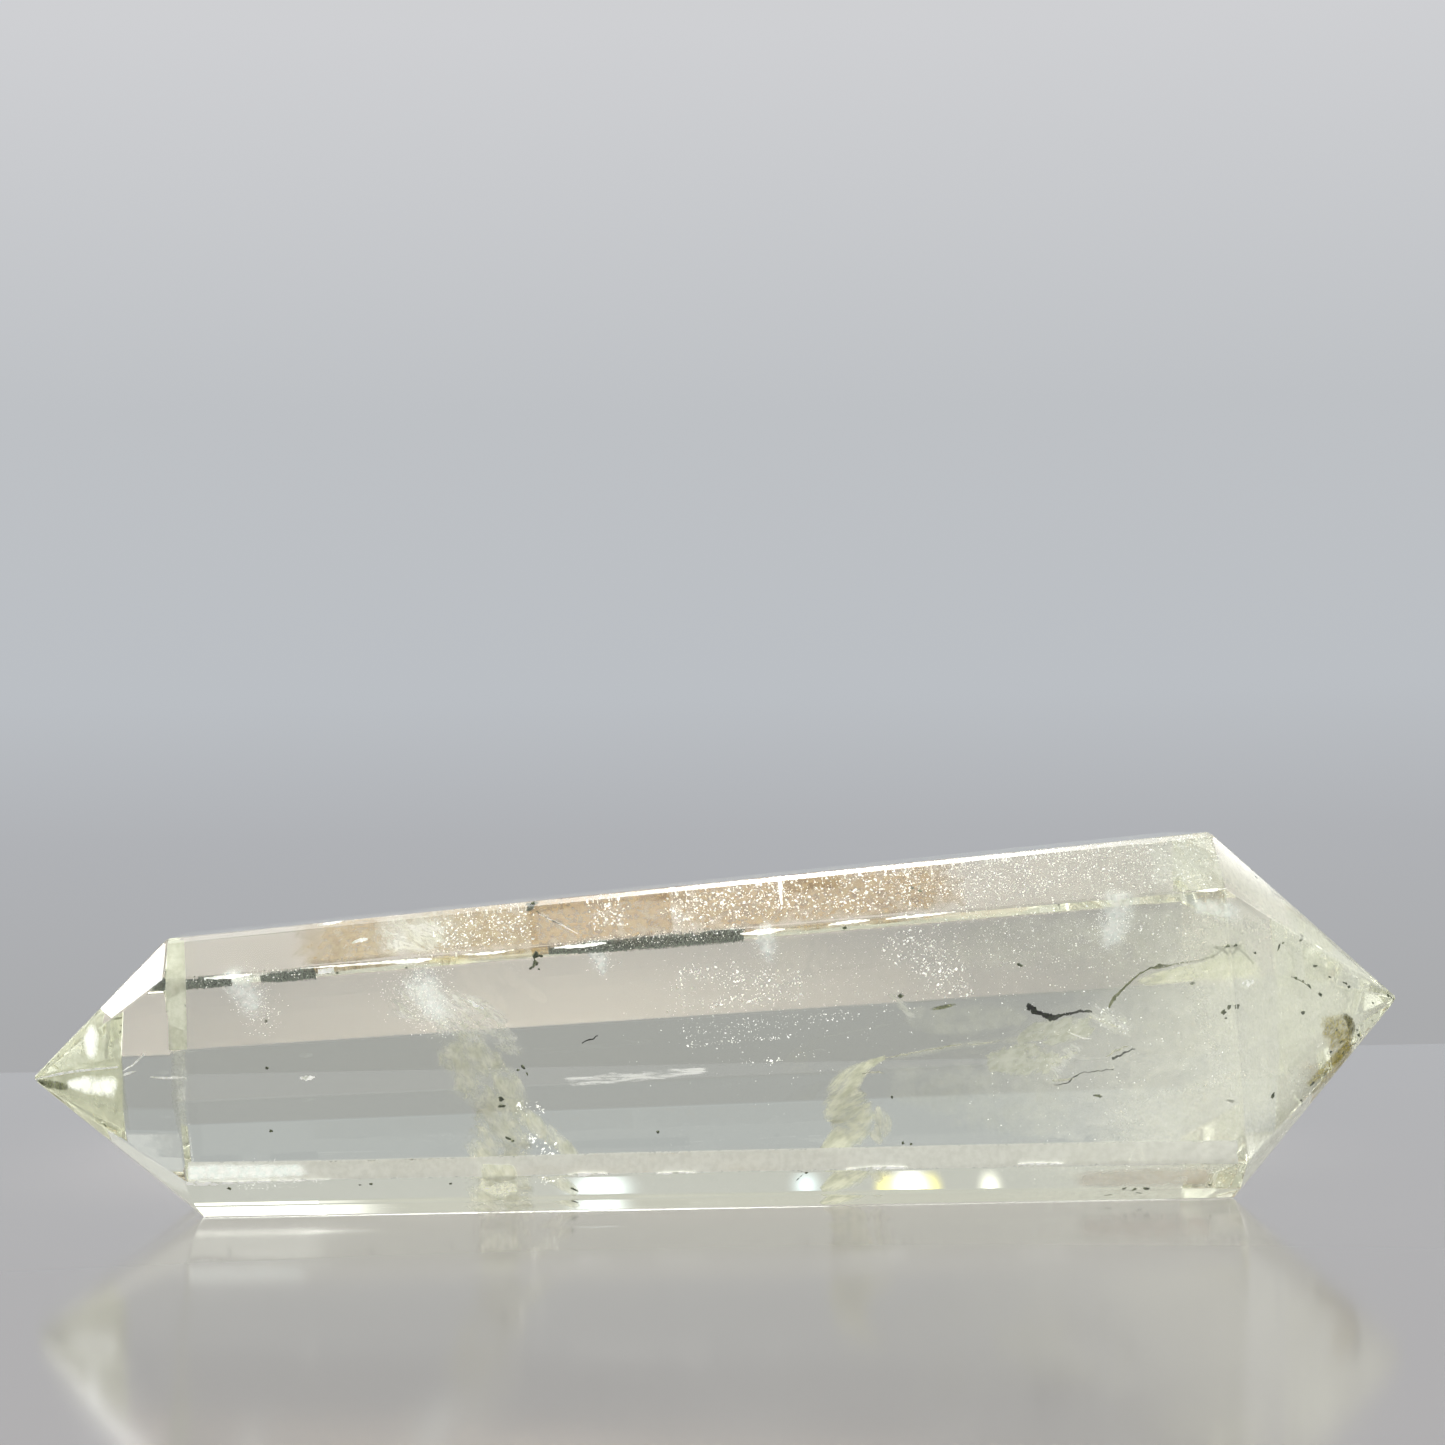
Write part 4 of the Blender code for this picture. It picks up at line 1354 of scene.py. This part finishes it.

# Bright threads that glow a little: open cracks in the veils, and painted highlights along the lower front
# edge, the narrow tip and the long ridge.
BRIGHT_THREADS = (
    ((34, 1079.5, 0.6, 0.3), (70, 1072, 1.4, 0.3), (118, 1067, 0.8, 0.3)),
    ((780, 878, 2.4, 0.5), (780.5, 890, 2.0, 0.5), (781.5, 905, 1.2, 0.5)),
    ((539, 914, 0.4, 1), (560, 924, 0.8, 1), (578, 934, 0.4, 1)),
    ((1018, 1164.5, 0.6, 0.12), (1036, 1164, 1.3, 0.12), (1064, 1164, 0.6, 0.12)),
    ((846, 1170, 0.6, 0.12), (874, 1168, 1.3, 0.12), (908, 1167.5, 0.7, 0.12)),
    ((568, 1175.5, 0.6, 0.12), (584, 1174.5, 1.6, 0.12), (608, 1174, 0.6, 0.12)),
    ((656, 1174, 0.5, 0.12), (675, 1173.2, 1.3, 0.12), (697, 1172.8, 0.5, 0.12)),
    ((186, 1183, 1.2, 0.12), (200, 1184, 2.0, 0.12), (240, 1182.5, 1.0, 0.12), (330, 1180, 0.5, 0.12)),
    ((300, 1078, 0.8, 4), (307, 1078, 2.4, 4), (315, 1077, 0.8, 4)),
    ((1242, 984, 2.0, 2), (1248, 983, 3.4, 2), (1254, 981, 1.6, 2)),
    ((468, 1000, 1.0, 4), (475, 1005, 2.2, 4), (484, 1009, 0.8, 4)),
    ((318, 927, 1.0, 1), (332, 924, 2.6, 1), (343, 921, 1.0, 1)),
    ((352, 943, 0.8, 1), (361, 940, 2.0, 1), (368, 939, 0.8, 1)),
    ((318, 971.5, 2.6, 0.4), (326, 971, 3.0, 0.4), (334, 970, 2.6, 0.4)),
    ((1067, 1031, 0.3, 5), (1080, 1037, 0.7, 5), (1091, 1039, 0.3, 5)),
    ((122, 1071, 0.4, 1), (134, 1064, 0.9, 1), (144, 1054, 0.4, 1)),
    ((118, 1078, 0.5, 1), (126, 1074, 1.5, 1), (136, 1071, 0.5, 1)),
    ((150, 1077, 0.5, 1), (170, 1078, 1.2, 1), (186, 1077, 0.5, 1)),
)


@dataclass
class Inclusions:
    """All that lies inside the stone: veils, flecks, dark grains, cracks and stains, with the painted
    highlights, reflection and shade among them.
    """

    probe: StoneProbe

    def build_films(self) -> list[Object]:
        """Build the films, with one material for each look.

        Returns:
            The pieces.
        """
        made: dict[Look, Material] = {}
        pieces = []
        for look, film in FILMS:
            if look not in made:
                made[look] = look.value.build()
            pieces.append(settle(film.mesh(self.probe), film.name, made[look]))
        return pieces

    def build_flecks(self) -> list[Object]:
        """Build the clouds of bright flecks and the dark flecks of painted shade.

        Returns:
            The pieces.
        """
        flecks = FlakeScatter("flake_scatter", FlakeFinish().build())
        shade_flecks = FlakeScatter("shade_scatter", ChloriteAndShadeFinish("painted black-green shade", "#4e5a48", "#10160f").build())
        return [scatter.strew(cloud, self.probe)
                for scatter, clouds in ((flecks, FLECKS), (shade_flecks, RIDGE_SHADE_FLECKS)) for cloud in clouds]

    def build_marks(self) -> list[Object]:
        """Build the grains, the cracks and the bright threads.

        Returns:
            The pieces.
        """
        seam = ChloriteAndShadeFinish("chlorite seam", "#2f4510", "#040a02", grain=0.2, rough=0.95)
        stain = ChloriteAndShadeFinish("olive seam", "#acb086", "#666e40", grain=0.2)
        healed = FlakeFinish("healed seam", "#f6f7ea", "#dcdecb", painted_glint=0.1)
        ridge_highlight = FlakeFinish("painted ridge highlight", painted_glint=1.2)
        # Partly open cracks, partly painted edge highlights, all with a painted glint.
        skin = FlakeFinish("bright crack and painted edge highlight", painted_glint=0.5)
        marks = (Grains("chlorite_grains", GRAINS),
                 Cracks("stained_cracks", CRACKS, seam),
                 Cracks("olive_cracks", OLIVE_CRACKS, stain, seed=8),
                 Cracks("healed_seam", SEAMS, healed, waver=1.4, seed=17),
                 Cracks("ridge_glints", RIDGE_GLINTS, ridge_highlight, waver=0.4, seed=12),
                 Cracks("bright_threads", BRIGHT_THREADS, skin, waver=0.6, seed=11))
        return [mark.build(self.probe) for mark in marks]

    def build(self) -> list[Object]:
        """Build everything inside the stone.

        Returns:
            The pieces.
        """
        return [*self.build_films(), *self.build_flecks(), *MilkyCloud(Look.CLOUD.value).build(),
                *self.build_marks()]


# ---------------------------------------------------------------- the set


@dataclass(frozen=True)
class Softbox:
    """One studio light, aimed at a point: an even rectangle, or an oval with a soft rim."""

    name: str
    place: Triple
    aim: Triple
    size: tuple[float, float]
    radiance: float
    colour: str = "#ffffff"
    oval: bool = False
    spread: float = math.radians(180)
    falloff: float = 2.5           # the higher, the faster an oval one dims towards its rim

    def soften(self, data: AreaLight) -> None:
        """Let a lamp grow dimmer from its middle to its rim.

        Args:
            data: the lamp.
        """
        tree = empty_tree(data)
        spot = add_node(tree, "ShaderNodeNewGeometry").outputs["Parametric"]
        off = add_node(tree, "ShaderNodeVectorMath", {0: spot, 1: (0.5, 0.5, 0.0)}, operation="SUBTRACT")
        flat = add_node(tree, "ShaderNodeVectorMath", {0: off.outputs[0], 1: (2.0, 2.0, 0.0)},
                        operation="MULTIPLY")
        radius = add_node(tree, "ShaderNodeVectorMath", {0: flat.outputs[0]}, operation="LENGTH")
        inner = add_node(tree, "ShaderNodeMapRange",
                         {"Value": radius.outputs["Value"], "To Min": 1.0, "To Max": 0.0})
        power = add_node(tree, "ShaderNodeMath", {0: inner.outputs[0], 1: self.falloff}, operation="POWER")
        glow = add_node(tree, "ShaderNodeEmission", {"Strength": power.outputs[0]})
        add_node(tree, "ShaderNodeOutputLight", {"Surface": glow.outputs[0]})

    def build(self) -> None:
        """Create the light."""
        data = bpy.data.lights.new(self.name, "AREA")
        data.shape = "ELLIPSE" if self.oval else "RECTANGLE"
        data.size, data.size_y = self.size
        data.energy = self.radiance * math.pi * self.size[0] * self.size[1]
        data.color = linear(self.colour)[:3]
        data.spread = self.spread
        if self.oval:
            self.soften(data)
        light = add_object(self.name, data)
        light.location = self.place
        away = Vector(self.aim) - Vector(self.place)
        light.rotation_euler = away.to_track_quat("-Z", "Y").to_euler()


@dataclass(frozen=True)
class FloorFinish:
    """Pale satin acrylic sheet: soft mirror images at a low angle, cool grey from above."""

    body: str = "#8f8c8c"
    clearest: float = 0.085        # roughness where the satin is finest
    haziest: float = 0.115
    haze_mm: float = 100 / 3
    sheet_ior: float = 1.49

    def build(self) -> Material:
        """Build the floor's material.

        Returns:
            The material.
        """
        material, tree, place = new_material("pale satin acrylic")
        haze = add_node(tree, "ShaderNodeTexNoise",
                        {"Vector": place, "Scale": 1 / (self.haze_mm * MM), "Detail": 3.0})
        rough = add_node(tree, "ShaderNodeMapRange",
                         {"Value": haze.outputs[0], "To Min": self.clearest, "To Max": self.haziest})
        shader = add_node(tree, "ShaderNodeBsdfPrincipled",
                          {"Base Color": linear(self.body), "Roughness": rough.outputs[0],
                           "IOR": self.sheet_ior})
        add_node(tree, "ShaderNodeOutputMaterial", {"Surface": shader.outputs[0]})
        return material


TOWARDS_STONE = (0.0, 0.0, 0.01)
COOL, WHITE, YELLOW = "#e6f4ff", "#fffff4", "#fff04a"
LIGHTS = (
    Softbox("ceiling_softbox", (0.0, 0.0, 0.50), (0.0, 0.0, 0.0), (0.60, 0.40), 1.2),
    # A narrow beam that lights the floor behind the stone, which shows through it.
    Softbox("pool_light", (-0.003, 0.036, 0.15), (-0.003, 0.036, 0.0), (0.050, 0.048), 3.85, "#fff2e0",
            spread=math.radians(24)),
    # Large softboxes that shape the stone and its two points.
    Softbox("right_softbox", (0.58, -0.02, 0.21), TOWARDS_STONE, (0.50, 0.24), 1.35),
    Softbox("tip_softbox", (0.482, 0.343, 0.215), (0.034, -0.007, 0.019), (0.026, 0.080), 11.0, oval=True),
    Softbox("left_kicker", (-0.475, 0.330, 0.2375), (-0.04, 0.0, 0.01), (0.20, 0.16), 7.0),
    Softbox("front_right_softbox", (0.42, -0.42, 0.36), TOWARDS_STONE, (0.25, 0.25), 3.5),
    Softbox("front_left_softbox", (-0.42, -0.42, 0.36), TOWARDS_STONE, (0.25, 0.25), 3.5),
    # Strips and windows that the long ridge and the foot mirror.
    Softbox("ridge_strip", (0.012, 0.298, 0.462), TOWARDS_STONE, (0.22, 0.11), 14.0, oval=True),
    Softbox("ridge_strip_ends", (0.0, 0.305, 0.473), TOWARDS_STONE, (0.60, 0.06), 2.0),
    Softbox("foot_window", (-0.0735, 0.393, 0.315), (-0.03, 0.0, 0.01), (0.058, 0.07), 1.6),
    Softbox("foot_window_end", (-0.0450, 0.400, 0.315), (-0.03, 0.0, 0.01), (0.040, 0.07), 2.2, oval=True),
    # Small lamps, mirrored as spots along the lower front.
    Softbox("lamp_a", (0.0205, 0.467, 0.2065), (-0.008, 0.01, 0.005), (0.024, 0.014), 2.9, COOL, True),
    Softbox("lamp_a_low", (0.0205, 0.405, 0.3125), (-0.008, 0.01, 0.008), (0.022, 0.012), 2.8, COOL, True),
    Softbox("lamp_b", (0.0706, 0.4635, 0.2070), (0.006, 0.01, 0.005), (0.012, 0.012), 1.5, "#d8f0ff", True),
    Softbox("lamp_c", (0.0958, 0.4605, 0.2072), (0.013, 0.01, 0.005), (0.014, 0.013), 4.6, WHITE, True),
    Softbox("lamp_c_left", (0.0906, 0.465, 0.2080), (0.013, 0.01, 0.005), (0.009, 0.012), 2.1, YELLOW, True),
    Softbox("lamp_c_right", (0.1014, 0.463, 0.2080), (0.013, 0.01, 0.005), (0.009, 0.012), 2.1, YELLOW, True),
    Softbox("lamp_d", (0.1152, 0.4578, 0.2070), (0.018, 0.01, 0.005), (0.009, 0.013), 2.4, "#fffff0", True),
)


@dataclass
class Studio:
    """A pale floor, an even backdrop and soft lights from above."""

    floor_back: float = 0.112
    floor_front: float = -0.60
    floor_half_width: float = 0.60
    floor_thickness: float = 0.02
    floor_round: float = 0.0015
    floor_gap: float = 0.00003     # keeps the floor's top just clear of the resting facet
    floor_finish: FloorFinish = FloorFinish()
    lights: tuple[Softbox, ...] = LIGHTS
    front_light: str = "#f4f4f2"   # the room on the camera's side
    front_depth: float = 0.5       # how far forwards a direction points where that room is full
    # How light the backdrop is at each sine of the height angle, low to high.
    backdrop: tuple[tuple[float, str], ...] = (
        (-0.20, "#a6a5a4"), (-0.06, "#abacae"), (0.00, "#b0b2b6"), (0.05, "#bbbfc4"), (0.15, "#bec1c5"),
        (0.28, "#cfd0d3"), (0.40, "#d2d3d1"), (0.58, "#dadad2"), (0.80, "#dadad4"), (1.00, "#e4e4e0"))
    # A ray meets many facets before it leaves the stone.
    bounces: int = 40
    mirror_bounces: int = 32
    clear_bounces: int = 32
    film_bounces: int = 24

    def build_floor(self) -> Object:
        """Build the floor slab, with its top at the height the stone rests on.

        Returns:
            The floor.
        """
        shape = bmesh.new()
        bmesh.ops.create_cube(shape, size=1.0)
        size = Vector((2 * self.floor_half_width, self.floor_back - self.floor_front, self.floor_thickness))
        centre = Vector((0.0, (self.floor_back + self.floor_front) / 2,
                         -self.floor_thickness / 2 - self.floor_gap))
        bmesh.ops.scale(shape, vec=size, verts=shape.verts)
        bmesh.ops.translate(shape, vec=centre, verts=shape.verts)
        bmesh.ops.bevel(shape, geom=shape.edges[:], offset=self.floor_round, segments=4,
                        profile=0.5, affect="EDGES")
        mesh = close_mesh(shape, "floor")
        mesh.materials.append(self.floor_finish.build())
        floor = add_object("floor", mesh)
        return floor

    def build_backdrop(self) -> None:
        """Fill the world with a backdrop that grows lighter upwards."""
        world = bpy.data.worlds.new("backdrop")
        bpy.context.scene.world = world
        tree = empty_tree(world)
        way = add_node(tree, "ShaderNodeTexCoord").outputs["Generated"]
        sides = add_node(tree, "ShaderNodeSeparateXYZ", {0: way}).outputs
        low, high = self.backdrop[0][0], self.backdrop[-1][0]
        share = add_node(tree, "ShaderNodeMapRange", {"Value": sides["Z"], "From Min": low, "From Max": high})
        ramp = add_node(tree, "ShaderNodeValToRGB", {0: share.outputs[0]})
        stops = ramp.color_ramp.elements
        while len(stops) < len(self.backdrop):
            stops.new(0.5)
        for stop, (height, colour) in zip(stops, self.backdrop):
            stop.position = (height - low) / (high - low)
            stop.color = linear(colour)
        front = add_node(tree, "ShaderNodeMapRange",
                         {"Value": sides["Y"], "From Min": 0.0, "From Max": -self.front_depth},
                         interpolation_type="SMOOTHSTEP")
        room = add_node(tree, "ShaderNodeMix", {"Factor": front.outputs[0], 6: ramp.outputs[0],
                                                7: linear(self.front_light)}, data_type="RGBA")
        glow = add_node(tree, "ShaderNodeBackground", {"Color": room.outputs[2]})
        add_node(tree, "ShaderNodeOutputWorld", {"Surface": glow.outputs[0]})

    def build(self) -> Object:
        """Build the whole set.

        Returns:
            The floor.
        """
        floor = self.build_floor()
        self.build_backdrop()
        for light in self.lights:
            light.build()
        scene = bpy.context.scene
        scene.view_settings.view_transform = "Standard"
        scene.cycles.max_bounces = self.bounces
        scene.cycles.glossy_bounces = self.mirror_bounces
        scene.cycles.transmission_bounces = self.clear_bounces
        scene.cycles.transparent_max_bounces = self.film_bounces
        return floor


def main() -> None:
    """Build the stone, what lies inside it and the set, and report each piece."""
    logging.basicConfig(level=logging.INFO, format="%(name)s: %(message)s")
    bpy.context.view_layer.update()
    view = Viewpoint()
    view.build()
    pieces = [Stone().build(), *Inclusions(StoneProbe.of_stone(view)).build(), Studio().build()]
    for piece in pieces:
        LOG.info("%s: %d faces", piece.name, len(piece.data.polygons))


if __name__ == "__main__":
    main()
